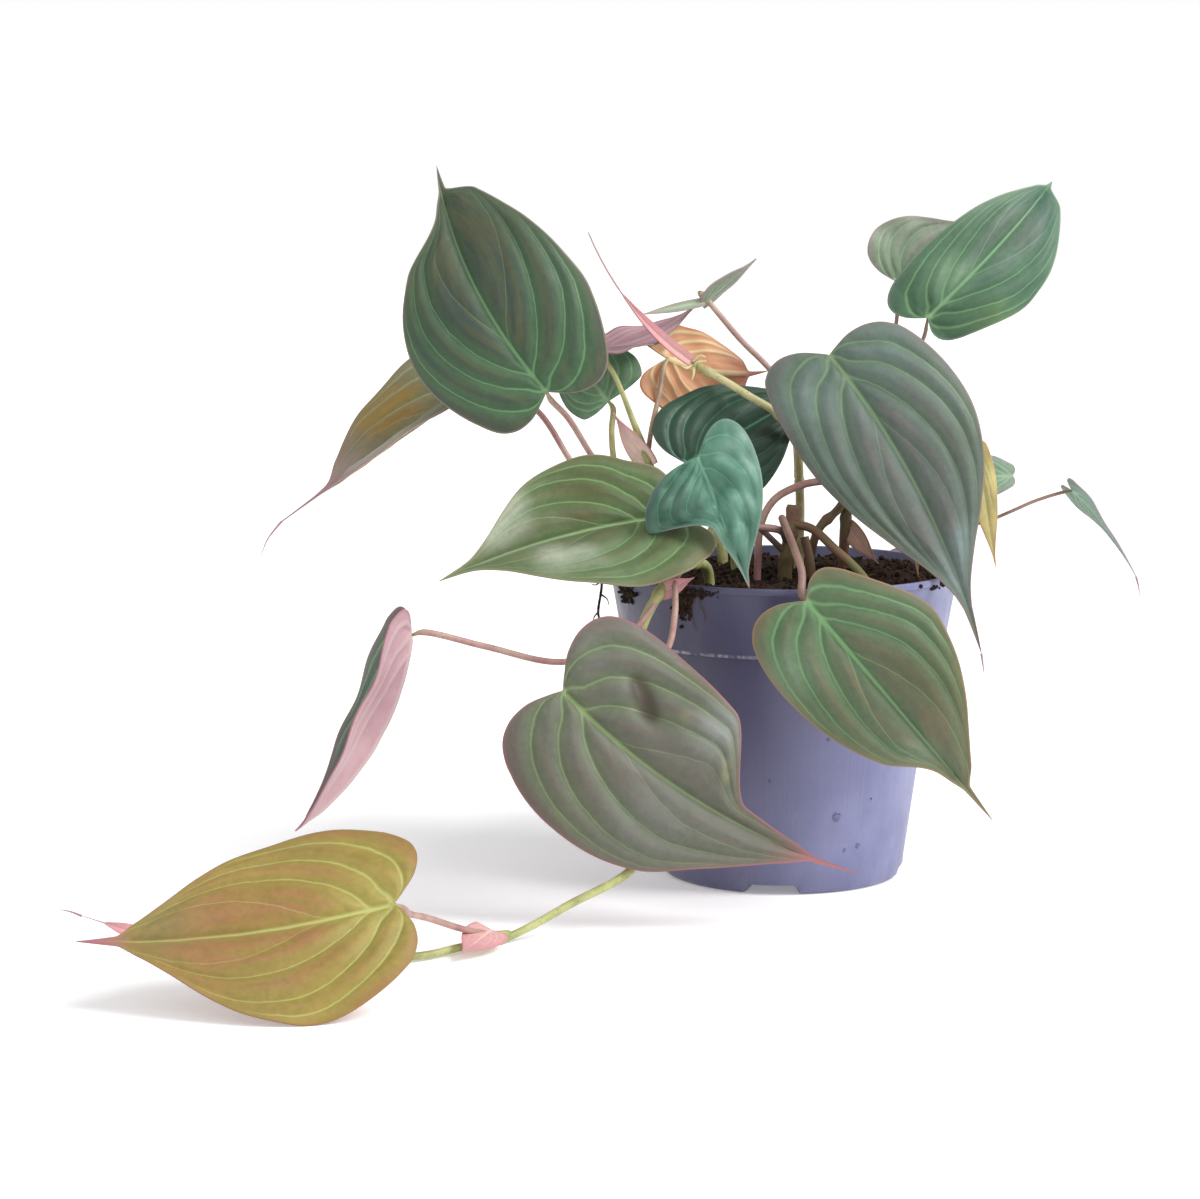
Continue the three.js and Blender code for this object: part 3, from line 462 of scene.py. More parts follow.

# Each blade's soft spots of colour are mostly painted sheen and highlights where paler, and partly painted
# shade where darker
blades = {
    "upper_left": {"base": (-81, -15, 167), "tip": (-119, 18, 242), "width": 68, "bend": 6, "sag": 5,
        "cant": 0.08, "uneven": -0.03, "full": (0.3, 1.2), "pinch": (0.14, 0.2), "slim": (0.5, 0),
        "slimFrom": (0.64, 0.84), "tail": 0.06, "glows": ((62, 30, 12, 0.7), (80, 12, 10, 0.4),
        (38, 18, 16, -0.6), (60, -12, 16, -0.35)), "look": "deepGreen"},
    "far_left": {"base": (-103, 25, 169), "tip": (-172.5, 1, 121), "width": 50, "face": 66, "fold": 30,
        "curl": 10, "tail": 0.12, "full": (0.4, 0), "slim": 0.5, "slimFrom": (0.74, 0.86),
        "glows": ((30, -14, 11, -1), (42, -12, 9, -0.7), (55, 8, 14, 0.7), (40, 14, 10, 0.5)),
        "look": "fadedOchre", "slot": "leaf_ochre"},
    "behind_left": {"base": (-60, 14, 161.5), "tip": (-80, 23, 184), "width": 30, "face": 12, "fold": 16,
        "lobe": 0.35, "uneven": -0.15, "look": "tealGreen"},
    "mid_left": {"base": (-44.5, -41, 127.5), "tip": (-115, -68, 110), "width": 58, "face": 42, "fold": 24,
        "curl": 24, "bend": -3.5, "cant": 0.15, "uneven": 0.09, "lobe": 1.8, "tail": 0.06,
        "look": "oliveGreen", "slot": "leaf_bronze", "glows": ((47, -16, 11, 0.9), (56, -8, 7, 0.5),
        (40, 12, 8, 0.7), (28, 14, 7, 0.5), (18, -18, 16, -1), (2, 14, 12, -0.7), (24, 2, 8, -0.4))},
    "edge_left": {"base": (-124, -70, 93), "tip": (-161.5, -80, 30), "width": 47, "face": 86, "fold": 40,
        "curl": 20, "sag": -8, "pinch": 0.25, "full": 0.3, "look": "rose", "slot": "leaf_rose",
        "glows": ((20, 10, 16, -0.25), (45, 8, 12, 0.1))},
    "on_floor": {"base": (-123.5, -184, 29.7), "tip": (-215.5, -196, 21.2), "width": 67, "face": 45,
        "bend": 4, "cant": -0.14, "uneven": 0.03, "pinch": 0.15, "full": 0.3, "tail": 0.08, "look": "ochre",
        "slot": "leaf_ochre", "glows": ((8, 0, 14, 0.6), (70, -6, 16, -0.6), (40, 20, 14, -0.3))},
    "front": {"base": (-75, -80, 76), "tip": (21, -90, 18), "width": 71, "face": -15, "bend": -7.5,
        "cant": -0.12, "tail": 0.1, "lobe": 0.9, "full": (0.6, 0.25), "slim": (0.74, 0.1),
        "slimFrom": (0.49, 0.66), "look": "frontGreen", "dents": ((19, 19, 4, 1.6),
        (23, 17, 4, 2.4), (28, 14, 4, 2.2), (35, 11, 4, 0.5), (38, 20, 4, -1), (57, 15, 2.5, -1.2),
        (59, 11, 2.5, -1.2)), "glows": ((50, 24, 10, 0.6), (30, 28, 9, -0.3), (45, -18, 18, 0.25),
        (0, 16, 9, 0.3))},
    "centre_small": {"base": (-31, -50, 148.5), "tip": (-14.5, -64, 107), "width": 43, "cant": 0.55,
        "uneven": -0.15, "slim": (0, 0.8), "crinkle": 2.2, "look": "jadeGreen", "slot": "leaf_new",
        "glows": ((12, -16, 11, -1.3), (0, 14, 4, 0.7), (8, 17, 5, 0.8), (2, 7, 4, 0.5), (20, 10, 5, 0.5),
        (38, 2, 9, -0.5))},
    "centre_dark": {"base": (-34, -5, 142), "tip": (10.5, 16, 165.5), "width": 44, "face": -20,
        "look": "darkGreen", "glows": ((20, 13, 8, 0.35), (2, 4, 12, -0.4),
        (36, -10, 14, -0.8))},
    "coral": {"base": (-40, 18, 176), "tip": (-4, 28, 171), "width": 39, "face": 150, "fold": 15, "bend": 3,
        "uneven": 0.2, "lobe": 3.7, "full": (0.8, 1.3), "tail": 0.16, "look": "coral", "slot": "leaf_coral",
        "glows": ((4, -8, 8, 0.5), (22, 8, 8, -0.4))},
    "rose_underside": {"base": (-63, 8, 180), "tip": (-30, 22, 194), "width": 24, "face": 110, "fold": -5,
        "curl": 10, "sag": 3.5, "look": "deepRose", "slot": "leaf_rose", "glows": ((4, 0, 9, -0.45),
        (24, 0, 8, 0.1))},
    "edge_top": {"base": (-27, 20, 195), "tip": (-9, 24, 210), "width": 11, "face": 60, "lobe": 0.5,
        "wave": 0.1, "fold": 6, "look": "greyGreen", "slot": "leaf_rose", "groove": 0.2, "puff": 0.2},
    "right": {"base": (14, -15, 179.5), "tip": (63.5, -45, 82), "width": 61, "bend": 6, "cant": -0.1,
        "uneven": 0.04, "lobe": 0.6, "pinch": 0.08, "full": 0.05, "tail": 0.1, "look": "slateGreen",
        "glows": ((10, -16, 12, 0.5), (35, -22, 12, 0.3), (6, 16, 12, 0.35),
        (45, 20, 16, -0.5), (62, -14, 10, -0.5), (88, 2, 12, 0.5), (75, 8, 8, 0.4))},
    "front_right": {"base": (3.7, -68, 103.5), "tip": (64, -82, 33.5), "width": 57, "uneven": 0.09,
        "cant": -0.04, "lobe": 0.8, "pinch": (0.42, 0), "full": (0.5, 0.3), "slim": (0, 0.5),
        "slimFrom": (0.63, 0.82), "tail": 0.1, "look": "bronzeGreen", "slot": "leaf_bronze",
        "glows": ((14, -18, 12, 0.5), (35, 14, 14, -0.5), (52, 14, 12, -0.4), (62, -4, 10, 0.4))},
    "top_right": {"base": (50.5, 25, 189.5), "tip": (96, 50, 236), "width": 41, "sag": 12, "cant": 0.3,
        "uneven": -0.1, "lobe": 0.8, "pinch": (0, 0.35), "full": (0.5, 1.2), "look": "freshGreen",
        "glows": ((14, 4, 9, 0.7), (30, -8, 9, 0.3), (14, -18, 10, -0.7),
        (48, 8, 10, 0.2))},
    "behind_top_right": {"base": (40.5, 42, 201.5), "tip": (68, 52, 223), "width": 37, "look": "greyGreen"},
    "olive_edge": {"base": (65.2, -6, 146), "tip": (71.2, -14, 107), "width": 9.5, "face": 12, "wave": 0.6,
        "look": "olive", "slot": "leaf_ochre"},
    "small_right": {"base": (79, 8, 136.5), "tip": (56, 6, 136), "width": 15, "lobe": 0.4, "pinch": 0.45,
        "wave": 0.3, "look": "paleGreen", "glows": ((2, 0, 7, -0.5),)},
    "far_right": {"base": (100.5, 15, 130.5), "tip": (122, 5, 101), "width": 13, "face": 62, "sag": -2,
        "lobe": 1.3, "wave": 0.4, "slim": 0.72, "slimFrom": (0.12, 0.5), "look": "paleGreen",
        "slot": "leaf_new", "glows": ((1, 0, 4, -0.9),)},
    "low_right": {"base": (41.5, 5, 147), "tip": (43.5, -30, 105.5), "width": 32, "tail": 0.1,
        "look": "bronzeGreen", "slot": "leaf_bronze"},
    "back_hanging": {"base": (-8, 84, 88), "tip": (-2, 92, 15), "width": 52, "face": 180, "tail": 0.08,
        "look": "deepGreen"},
    "back_side": {"base": (38, 80, 97), "tip": (47, 95, 42), "width": 38, "face": 180, "tail": 0.08,
        "look": "slateGreen"},
    "back_right": {"base": (36, 52, 160), "tip": (54, 90, 116), "width": 46, "face": 180, "sag": 4,
        "look": "bronzeGreen", "slot": "leaf_bronze"},
    "back_left": {"base": (-50, 40, 128), "tip": (-86, 74, 112), "width": 38, "face": 150,
        "look": "deepGreen"},
}

# Veins on each half: where they leave the midrib or junction (row share), how far out they start,
# how far out they end, how early they bend outwards and how deep they lie. The last is a faint lateral.
veinRuns = (
    (0.27, 0.0, 1.0, 1.4, 0.9),
    (0.26, 0.22, 1.0, 2.3, 0.8),
    (0.27, 0.62, 1.04, 2.4, 0.7),
    (0.46, 0.0, 0.96, 1.3, 0.35),
)
bladeThickness = 0.45


def beyondEnd(end, inner):
    # a row as far past the end as the inner one lies before it
    return [2 * e - i for e, i in zip(end, inner)]


def outlineAt(t):
    # a smooth curve through the rows of the outline
    place = t * (len(outlineRows) - 1)
    i = min(int(place), len(outlineRows) - 2)
    f = place - i
    rows = [beyondEnd(*outlineRows[:2]), *outlineRows, beyondEnd(*outlineRows[:-3:-1])]
    return [b + 0.5 * f * (c - a + f * (2 * a - 5 * b + 4 * c - d + f * (3 * (b - c) + d - a)))
            for a, b, c, d in zip(*rows[i:i + 4])]


def bladeAxes(blade):
    base = Vector(blade["base"])
    along = Vector(blade["tip"]) - base
    length = along.length
    along.normalize()
    up = Vector((0, -1, 0))
    up = (up - along * up.dot(along)).normalized()
    up = Matrix.Rotation(math.radians(blade["face"]), 3, along) @ up
    return base, along, up.cross(along), up, length


def bladePoint(blade, axes, u, v):
    # the flat blade's point, once it is bowed, folded, curled and rippled
    base, along, across, up, length = axes
    s = u / length
    side = math.copysign(1, v) if v else 0
    reach = abs(v)
    half = blade["width"] / 2
    bow = 1.5 * s if s < 0 else 4 * s * (1 - s)
    rise = math.radians(blade["fold"])
    turn = math.radians(blade["curl"]) / half + 1e-6
    outward = (math.sin(rise) - math.sin(rise - turn * reach)) / turn
    ripple = blade["wave"] * (reach / half) ** 2 * math.sin(5 * math.pi * s + side)
    upward = (math.cos(rise - turn * reach) - math.cos(rise)) / turn + ripple
    return (base + along * u + up * (blade["sag"] * bow + upward)
            + across * (blade["bend"] * bow + side * outward))


def ofSide(value, side):
    return value[0 if side > 0 else 1] if isinstance(value, tuple) else value


def flatPoint(blade, length, t, w):
    # where a point at share t from the junction to the tip, and w from midrib to margin, lies flat
    marginAlong, marginAcross, midrib = outlineAt(t)
    side = math.copysign(1, w) if w else 0
    deep = marginAlong * blade["lobe"] if marginAlong < 0 else marginAlong
    towardsTip = smoothstep(marginAlong, 0.15, 0.3) * (1 - smoothstep(t, 0.85, 0.93))
    rounder = 1 / (1 + ofSide(blade["full"], side) * towardsTip)
    atLobes = ofSide(blade["pinch"], side) * (1 - smoothstep(midrib, 0.1, 0.4))
    beyond = ofSide(blade["slim"], side) * smoothstep(midrib, *blade["slimFrom"])
    swell = max(marginAcross, 0) ** rounder * (1 - atLobes) * (1 - beyond)
    half = swell * blade["width"] / 2 * (1 + side * blade["uneven"])
    v = w * half
    body = length * (1 - blade["tail"] * (1 - max(0, (t - 0.923) / 0.077)))
    w = abs(w)
    u = (midrib * (1 - w) + deep * w) * body - blade["cant"] * v * (1 - midrib) ** 2
    return u, v, half


def veinOffsets(t, w, half, spread):
    # how far the point lies from each vein of its half
    offsets = []
    for (start, first, last, power, weight), spare in zip(veinRuns, spread):
        share = (t - start) / (1 - start)
        share = min(1, (share + math.sqrt(share * share + 0.004)) / 2)
        centre = first + (last - first) * (1 - (1 - share) ** (power * (1 + spare * (1 if w > 0 else -1))))
        offsets.append((centre - abs(w)) * half)
    return offsets


def hill(gap, radius):
    return math.exp(-((gap / radius) ** 2))


def spotsAt(flat, spots):
    # the sum of soft round spots, each (along, across, radius, amount)
    return sum(amount * hill((flat - Vector((along, across, 0))).length, radius)
               for along, across, radius, amount in spots)


def swellAt(blade, flat, offsets, seed):
    # the skin sinks in narrow valleys along the veins and swells between them
    valleys = [hill(flat.y, 1.3)]
    slopes = [hill(flat.y, 4.2)]
    for offset, run in zip(offsets, veinRuns):
        valleys.append(run[-1] * hill(offset, 1.0))
        slopes.append(run[-1] * hill(offset, 3.6))
    buckle = blade["crinkle"] * noise.noise(flat / 7 + seed) * 2
    return buckle + blade["puff"] * (1 - max(slopes)) - blade["groove"] * max(valleys)


def makeLeaf(name, given, *nodes):
    blade = {**bladeDefaults, **given}
    axes = bladeAxes(blade)
    length = axes[4]
    rng = random.Random(name)
    spread = [rng.uniform(-0.15, 0.15) for run in veinRuns]
    seed = Vector((rng.uniform(0, 90), rng.uniform(0, 90), 0))
    size = blade["width"]
    rows, columns = (130, 90) if size > 49 else (96, 64) if size > 30 else (64, 36)
    bm = bmesh.new()
    bmesh.ops.create_grid(bm, x_segments=rows, y_segments=columns, size=1)
    uv = bm.loops.layers.uv.new("blade")
    nearLayer = bm.verts.layers.float_vector.new("veinsNear")
    ribLayer = bm.verts.layers.float_vector.new("ribs")
    creaseShadeAndBruiseLayer, glowLayer, swellLayer = [bm.verts.layers.float.new(n) for n in ("creaseShadeAndBruise", "glow", "swell")]
    for face in bm.faces:
        for loop in face.loops:
            loop[uv].uv = ((loop.vert.co.x + 1) / 2, (loop.vert.co.y + 1) / 2)
    for vert in bm.verts:
        t = min(1, max(0, (vert.co.x + 1) / 2))
        w = vert.co.y if abs(vert.co.y) > 1e-6 else 0
        u, v, half = flatPoint(blade, length, t, w)
        flat = Vector((u, v, 0))
        offsets = veinOffsets(t, w, half, spread)
        edge = (1 - abs(w)) * half
        vert[nearLayer] = offsets[:3]
        vert[ribLayer] = (offsets[3], abs(v), min(edge, (1 - t) * length + 0.3))
        swell = swellAt(blade, flat, offsets, seed) * smoothstep(edge, 0, 5) * smoothstep(1 - t, 0, 0.12)
        dent = spotsAt(flat, blade["dents"])
        # each dent is painted too: darker where it sinks, as painted shade and bruising, paler where it
        # rises, as painted light
        vert[creaseShadeAndBruiseLayer] = 0.45 * dent
        # soft spots of painted sheen and shade, with some of the leaf's own tone
        vert[glowLayer] = spotsAt(flat, blade["glows"])
        vert[swellLayer] = (swell - dent) * min(1, size / 45)
        vert.co = bladePoint(blade, axes, u, v)
    bmesh.ops.remove_doubles(bm, verts=bm.verts, dist=0.004)
    bmesh.ops.dissolve_degenerate(bm, edges=bm.edges, dist=0.002)
    bm.normal_update()
    facing = sum((face.normal * face.calc_area() for face in bm.faces), Vector())
    if facing.dot(axes[3]) < 0:
        bmesh.ops.reverse_faces(bm, faces=bm.faces)
        bm.normal_update()
    moves = [(vert, vert.normal * vert[swellLayer]) for vert in bm.verts]
    for vert, move in moves:
        vert.co += move
    leaf = finishPiece(bm, "leaf_" + name, leafMaterials[blade["look"]], blade["slot"], *nodes, sheet=True)
    shell = leaf.modifiers.new("thickness", "SOLIDIFY")
    shell.thickness = bladeThickness * mm
    shell.offset = 0
    shell.material_offset = 1
    shell.material_offset_rim = 2


for name, blade in blades.items():
    makeLeaf(name, blade, "blade_" + name)
# the far half of the leaf that shows its underside, seen past its edge
makeLeaf("rose_edge", {
    "base": (-27.6, 18.5, 195.4), "tip": (-50.5, 9, 191.3), "width": 3.4, "face": 20, "fold": 0, "curl": 0,
    "wave": 0, "lobe": 0.4, "look": "greyGreen", "slot": "leaf_rose"})
print("leaves made:", len(blades))


# Stems, petioles and their nodes

def smoothPath(points, spacing):
    # a curve through the points that keeps its speed even, as points a little way apart
    points = [Vector(p) for p in points]
    ends = [2 * points[0] - points[1]] + points + [2 * points[-1] - points[-2]]
    path = [points[0]]
    for a, b, c, d in zip(ends, ends[1:], ends[2:], ends[3:]):
        gaps = [max(0.01, math.sqrt((q - p).length)) for p, q in ((a, b), (b, c), (c, d))]
        leave = ((b - a) / gaps[0] - (c - a) / (gaps[0] + gaps[1]) + (c - b) / gaps[1]) * gaps[1]
        arrive = ((c - b) / gaps[1] - (d - b) / (gaps[1] + gaps[2]) + (d - c) / gaps[2]) * gaps[1]
        steps = max(2, math.ceil((c - b).length / spacing))
        for i in range(1, steps + 1):
            f = i / steps
            path.append(b + f * (leave + f * (3 * (c - b) - 2 * leave - arrive
                                              + f * (2 * (b - c) + leave + arrive))))
    return path


def growTube(bm, points, spacing, radiusAt, sides, layer=None, toneAt=None):
    # extrudes a ring along a smooth path, and closes both ends
    path = smoothPath(points, spacing)
    alongs = [0]
    for a, b in zip(path, path[1:]):
        alongs.append(alongs[-1] + (b - a).length)
    side = (path[1] - path[0]).normalized().orthogonal().normalized()
    ring = bmesh.ops.create_circle(bm, cap_ends=True, segments=sides, radius=1)["verts"]
    edges = list({edge for vert in ring for edge in vert.link_edges})
    placed = Matrix()
    for i, centre in enumerate(path):
        tangent = (path[min(i + 1, len(path) - 1)] - path[max(i - 1, 0)]).normalized()
        side = (side - tangent * side.dot(tangent)).normalized()
        other = tangent.cross(side)
        radius = radiusAt(alongs[i], alongs[-1])
        target = Matrix((side * radius, other * radius, tangent)).transposed().to_4x4()
        target.translation = centre
        if i:
            grown = bmesh.ops.extrude_edge_only(bm, edges=edges)["geom"]
            ring = [item for item in grown if isinstance(item, bmesh.types.BMVert)]
            edges = [item for item in grown if isinstance(item, bmesh.types.BMEdge)]
        bmesh.ops.transform(bm, matrix=target @ placed.inverted(), verts=ring)
        placed = target
        if layer:
            for vert in ring:
                vert[layer] = toneAt(alongs[i], alongs[-1])
    bmesh.ops.edgeloop_fill(bm, edges=edges)


vines = {
    "vine_left": {"slot": "vine_green", "look": "vine", "runs": [
        {"radius": 2.1, "end": 1.6, "knots": (62, 84, 100), "path": ((-16, 14, 84), (-16, 14, 108),
            (-20, 13, 124), (-32, 10, 133), (-46, 7, 136), (-58, 4, 137), (-70, 1, 136))},
        {"to": "upper_left", "path": ((-61, 3, 137), (-66, -2, 144.5), (-74, -9, 158))},
        {"to": "far_left", "path": ((-69, 1, 136), (-74, 2, 143.5), (-83, 9, 157), (-95, 19, 166))},
        {"to": "behind_left", "blush": 0.15, "path": ((-57, 4, 137), (-58.5, 8, 143.5), (-59, 12, 152))},
        {"to": "rose_underside", "radius": 1.5, "end": 0.9, "blush": 0.05, "path": ((-45, 7, 136),
            (-46.5, 4.5, 142), (-51.5, 5, 155), (-57.5, 6, 170), (-61.8, 7, 177.5))},
        {"to": "coral", "radius": 0.9, "blush": 0.6, "path": ((-46, 7.5, 135), (-46.5, 6.5, 142),
            (-45.5, 5.5, 152), (-42.5, 9, 165), (-41, 15, 173))},
        {"to": "centre_dark", "path": ((-28, 11, 131), (-32, 4, 135), (-36, -5, 139))},
        {"to": "back_left", "path": ((-48, 7, 136), (-48, 20, 136), (-48, 32, 133))}]},
    "vine_upper": {"slot": "vine_green", "look": "paleVine", "runs": [
        {"radius": 1.9, "end": 1.35, "knots": (50, 78, 108), "path": ((6, 16, 84), (6, 15, 108),
            (6, 12, 130), (3.5, 4, 150), (-3.5, 1, 159), (-12, 1, 164.2), (-20, 5, 168.9),
            (-31, 12, 174.5))},
        {"to": "edge_top", "path": ((5.5, 14.5, 135), (3, 16, 158), (-3, 16, 170.5), (-15, 18, 183))}]},
    "vine_right": {"slot": "stem_brown", "look": "brown", "runs": [
        {"radius": 2.2, "end": 1.7, "knots": (38, 56, 66), "path": ((21, 6, 84), (21, 6, 108),
            (21.5, 6, 122), (24, 9, 136), (28, 12, 150))},
        {"radius": 1.5, "knots": (40,), "path": ((8, 2, 84), (9, 1, 108), (12, 0, 119), (19, 4, 125.5),
            (24, 8, 133))},
        {"to": "right", "path": ((22, 7, 128), (20, 3, 148), (16, -5, 168))},
        {"to": "top_right", "radius": 0.7, "path": ((28, 12, 150), (36, 18, 164), (45, 22, 176),
            (49.3, 24, 183))},
        {"to": "behind_top_right", "radius": 0.7, "path": ((27, 12, 146), (33, 26, 168), (40, 35, 184),
            (41.3, 40, 196))},
        {"to": "olive_edge", "path": ((23, 8, 134), (40, 13, 138), (54, 10, 142), (61, 0, 144))},
        {"to": "small_right", "path": ((23, 8, 131), (42, 13, 137), (58, 14, 138), (72, 13, 137))},
        {"to": "far_right", "radius": 0.6, "path": ((22, 7, 126), (45, 10, 118), (60, 13, 117.5),
            (72.5, 14, 120.5), (78.5, 14, 123), (88, 15, 127), (97, 15, 129.8))},
        {"to": "back_right", "path": ((26, 11, 142), (31, 28, 158), (34, 42, 165))}]},
    "vine_trailing": {"slot": "vine_green", "look": "vine", "runs": [
        {"radius": 1.9, "end": 1.25, "knots": (36, 47, 60, 140, 205, 262), "path": ((-26, -24, 84),
            (-27, -26, 108), (-32, -36, 111.5), (-38, -46, 110.5), (-43.5, -53, 104), (-49, -57, 94),
            (-53, -64, 76), (-52.5, -72, 52), (-51, -81, 34), (-51.5, -88, 21), (-73, -99.5, 10),
            (-92, -109.5, 2), (-106, -122, 1.8), (-119, -134, 1.8), (-150, -140, 1.8), (-185, -131, 2.2),
            (-205, -122, 4.3))},
        {"to": "edge_left", "path": ((-42, -51, 106), (-48, -58, 97), (-60, -62, 86), (-77, -62, 82.5),
            (-100, -65, 88))},
        {"to": "front", "path": ((-33, -38, 111.5), (-38, -52, 108.5), (-38.5, -59, 98), (-41, -63, 87),
            (-52, -68, 76), (-66, -74, 73))},
        {"to": "on_floor", "path": ((-92, -109.5, 2.8), (-100, -117, 5), (-106, -126, 8.5),
            (-115.5, -152, 18), (-120, -172, 24))}]},
    "stem_cluster": {"slot": "stem_brown", "look": "brown", "runs": [
        {"radius": 2.7, "end": 2.4, "knots": (27, 36, 43), "path": ((0, -10, 84), (0, -11, 108),
            (1.5, -12, 118), (3, -10, 128))},
        {"to": "front_right", "radius": 1.3, "path": ((1, -12, 116), (-1.5, -26, 124), (-2.5, -38, 126.5),
            (0.5, -52, 119), (2.8, -60, 111.5))},
        {"to": "mid_left", "radius": 1.3, "path": ((0.5, -12, 117), (-3, -20, 121), (-14, -24, 122.5),
            (-30, -34, 125.5))},
        {"to": "centre_small", "path": ((0, -11, 112), (-11, -22, 124), (-21, -34, 139))},
        {"radius": 1.5, "path": ((2, -12, 122), (8, -15, 121), (16, -27, 115),
            (23.5, -38.5, 108.5), (26.5, -43, 104), (28, -45, 98))}]},
    "stem_arching": {"slot": "vine_green", "look": "vine", "runs": [
        {"to": "low_right", "radius": 1.3, "path": ((-10, -14, 84), (-9.5, -13, 108), (-8.4, -12, 122),
            (-3.6, -8, 130), (6, -4, 134.5), (20, -1, 137), (33, 2, 145))}]},
    "stem_stub": {"slot": "stem_brown", "look": "brown", "runs": [
        {"radius": 1.6, "path": ((9, -10, 84), (8.5, -10, 108), (6.5, -8, 117))}]},
    "vine_back": {"slot": "vine_green", "look": "vine", "runs": [
        {"radius": 2, "end": 1.5, "knots": (40, 52, 66), "path": ((-20, 34, 84), (-20, 36, 108),
            (-22, 48, 112.5), (-23, 60, 110), (-22, 68, 98), (-19, 71, 75), (-17, 74, 45), (-18, 77, 22))},
        {"to": "back_hanging", "path": ((-22, 67.5, 99), (-18, 76, 99), (-11, 83, 94))},
        {"to": "back_side", "path": ((-22.5, 67, 100), (-8, 73, 100), (15, 78, 102))}]},
}

stemInputs = {"Vine": "#b8b45c", "Shade": "#8a7a4a", "Petiole": "#b08c8c", "Petiole Shade": "#9a6a70"}
stemLooks = {
    "vine": {"Vine": "#b9bc80", "Shade": "#979a62", "Petiole": "#b8918f", "Petiole Shade": "#aa6f7c"},
    "paleVine": {"Vine": "#d3cb9c", "Shade": "#a9a874", "Petiole": "#b99c98", "Petiole Shade": "#a87c82"},
    "brown": {"Vine": "#7d5f4a", "Shade": "#6d6c44", "Petiole": "#9d817a", "Petiole Shade": "#865e5a"},
}


def makeStemPattern():
    tree, given, made = startGroup("stemPattern", stemInputs, ("Color", "Roughness", "Height"))
    place = objectPlace(tree)
    cloud = speckle(tree, place, 90, 4, 0.6)
    fine = speckle(tree, place, 900, 3, 0.6)
    specks = textured(tree, "TexVoronoi", place, Scale=700)["Distance"]
    vine = layered(tree, given["Vine"], (fade(tree, cloud, 0.38, 0.66), given["Shade"]))
    stalk = layered(tree, given["Petiole"], (fade(tree, cloud, 0.35, 0.68), given["Petiole Shade"]))
    dots = fade(tree, specks, 0.12, 0.3, 0.35, 0)
    plug(tree, layered(tree, vine, (carried(tree, "petiole"), stalk), (dots, "#5c4038")), made["Color"])
    plug(tree, fade(tree, fine, 0.3, 0.7, 0.36, 0.52), made["Roughness"])
    plug(tree, plus(tree, times(tree, fine, 0.5), cloud), made["Height"])
    return tree


stemPattern = makeStemPattern()


def makeStemMaterial(name):
    material, tree, shader = newMaterial(name + "Stem", Specular_IOR_Level=0.4)
    relief(tree, shader, useGroup(tree, shader, stemPattern, stemLooks[name]), 0.35, 0.0003)
    return material


stemMaterials = {name: makeStemMaterial(name) for name in stemLooks}


def joinBlade(points, name):
    # leads a petiole to the notch of its blade
    base, along, across, up, length = bladeAxes({**bladeDefaults, **blades[name]})
    last = Vector(points[-1])
    joined = list(points)
    if (base - last).length > 9:
        fromUnder = (last - base).dot(along) > 0
        joined.append(base + (1.5 if fromUnder else -2.2) * along - (4 if fromUnder else 2.8) * up)
    joined.append(base + 0.3 * along - 0.35 * up)
    return joined


def growRun(bm, run, petioleLayer):
    # one vine or petiole, with swollen knots or with the sheath at its foot
    first = run.get("radius", 1.05)
    last = run.get("end", first)

    def radiusAt(distance, total):
        radius = first + (last - first) * smoothstep(distance, 0, total * 0.7)
        for knot in run.get("knots", ()):
            away = distance - knot
            radius += 0.5 * hill(away, 1.6) - 0.12 * hill(away - 2.6, 0.7)
        if "to" in run:
            radius *= (1 + 0.35 * hill(distance, 3)) * (1 - 0.5 * smoothstep(distance, total - 4, total))
        return radius

    def petioleAt(distance, total):
        if "to" not in run:
            return 0.0
        grown = smoothstep(distance, 0, 9) * (1 - 0.5 * smoothstep(distance, total - 6, total))
        return run.get("blush", 0.8) * grown

    points = joinBlade(run["path"], run["to"]) if "to" in run else run["path"]
    growTube(bm, points, 1.6, radiusAt, 12, petioleLayer, petioleAt)


for name, vine in vines.items():
    bm = bmesh.new()
    petioleLayer = bm.verts.layers.float.new("petiole")
    for run in vine["runs"]:
        growRun(bm, run, petioleLayer)
    finishPiece(bm, "stems_" + name, [stemMaterials[vine["look"]]], vine["slot"], name)
print("stems made:", len(vines))

# Sheaths and rolled new leaves

sheathShared = {
    "look": "sheath", "slot": "sheath_pink", "wave": 0, "groove": 0.1, "puff": 0.1, "fold": 20, "lobe": 0}
sheaths = {
    "spike_new_leaf": {"base": (-30, 12, 174), "tip": (-67, -2, 220), "width": 5, "face": 30, "fold": 40,
        "bend": 5, "full": 0.6, "tail": 0.35},
    "sheath_upper": {"base": (-46, 5.5, 140), "tip": (-58.5, 2, 158.5), "width": 9, "face": -30,
        "look": "paleSheath"},
    "sheath_rim": {"base": (-43, -53, 104), "tip": (-32, -55, 109.5), "width": 6, "face": -20, "fold": 15},
    "sheath_floor": {"base": (-97, -114, 5.2), "tip": (-106, -138, 3.4), "width": 13, "face": 60, "fold": 4,
        "curl": 0},
    "spike_floor": {"base": (-203, -122, 4.5), "tip": (-226, -118, 11), "width": 5, "face": 20, "fold": 30,
        "full": 0.6, "tail": 0.3},
    "sheath_withered": {"base": (22, 7, 119), "tip": (32, -6, 107.5), "width": 7, "face": 10,
        "crinkle": 1.2, "look": "witheredSheath"},
}
for name, sheath in sheaths.items():
    makeLeaf(name, {**sheathShared, **sheath}, name)
print("sheaths made:", len(sheaths))

# Pot

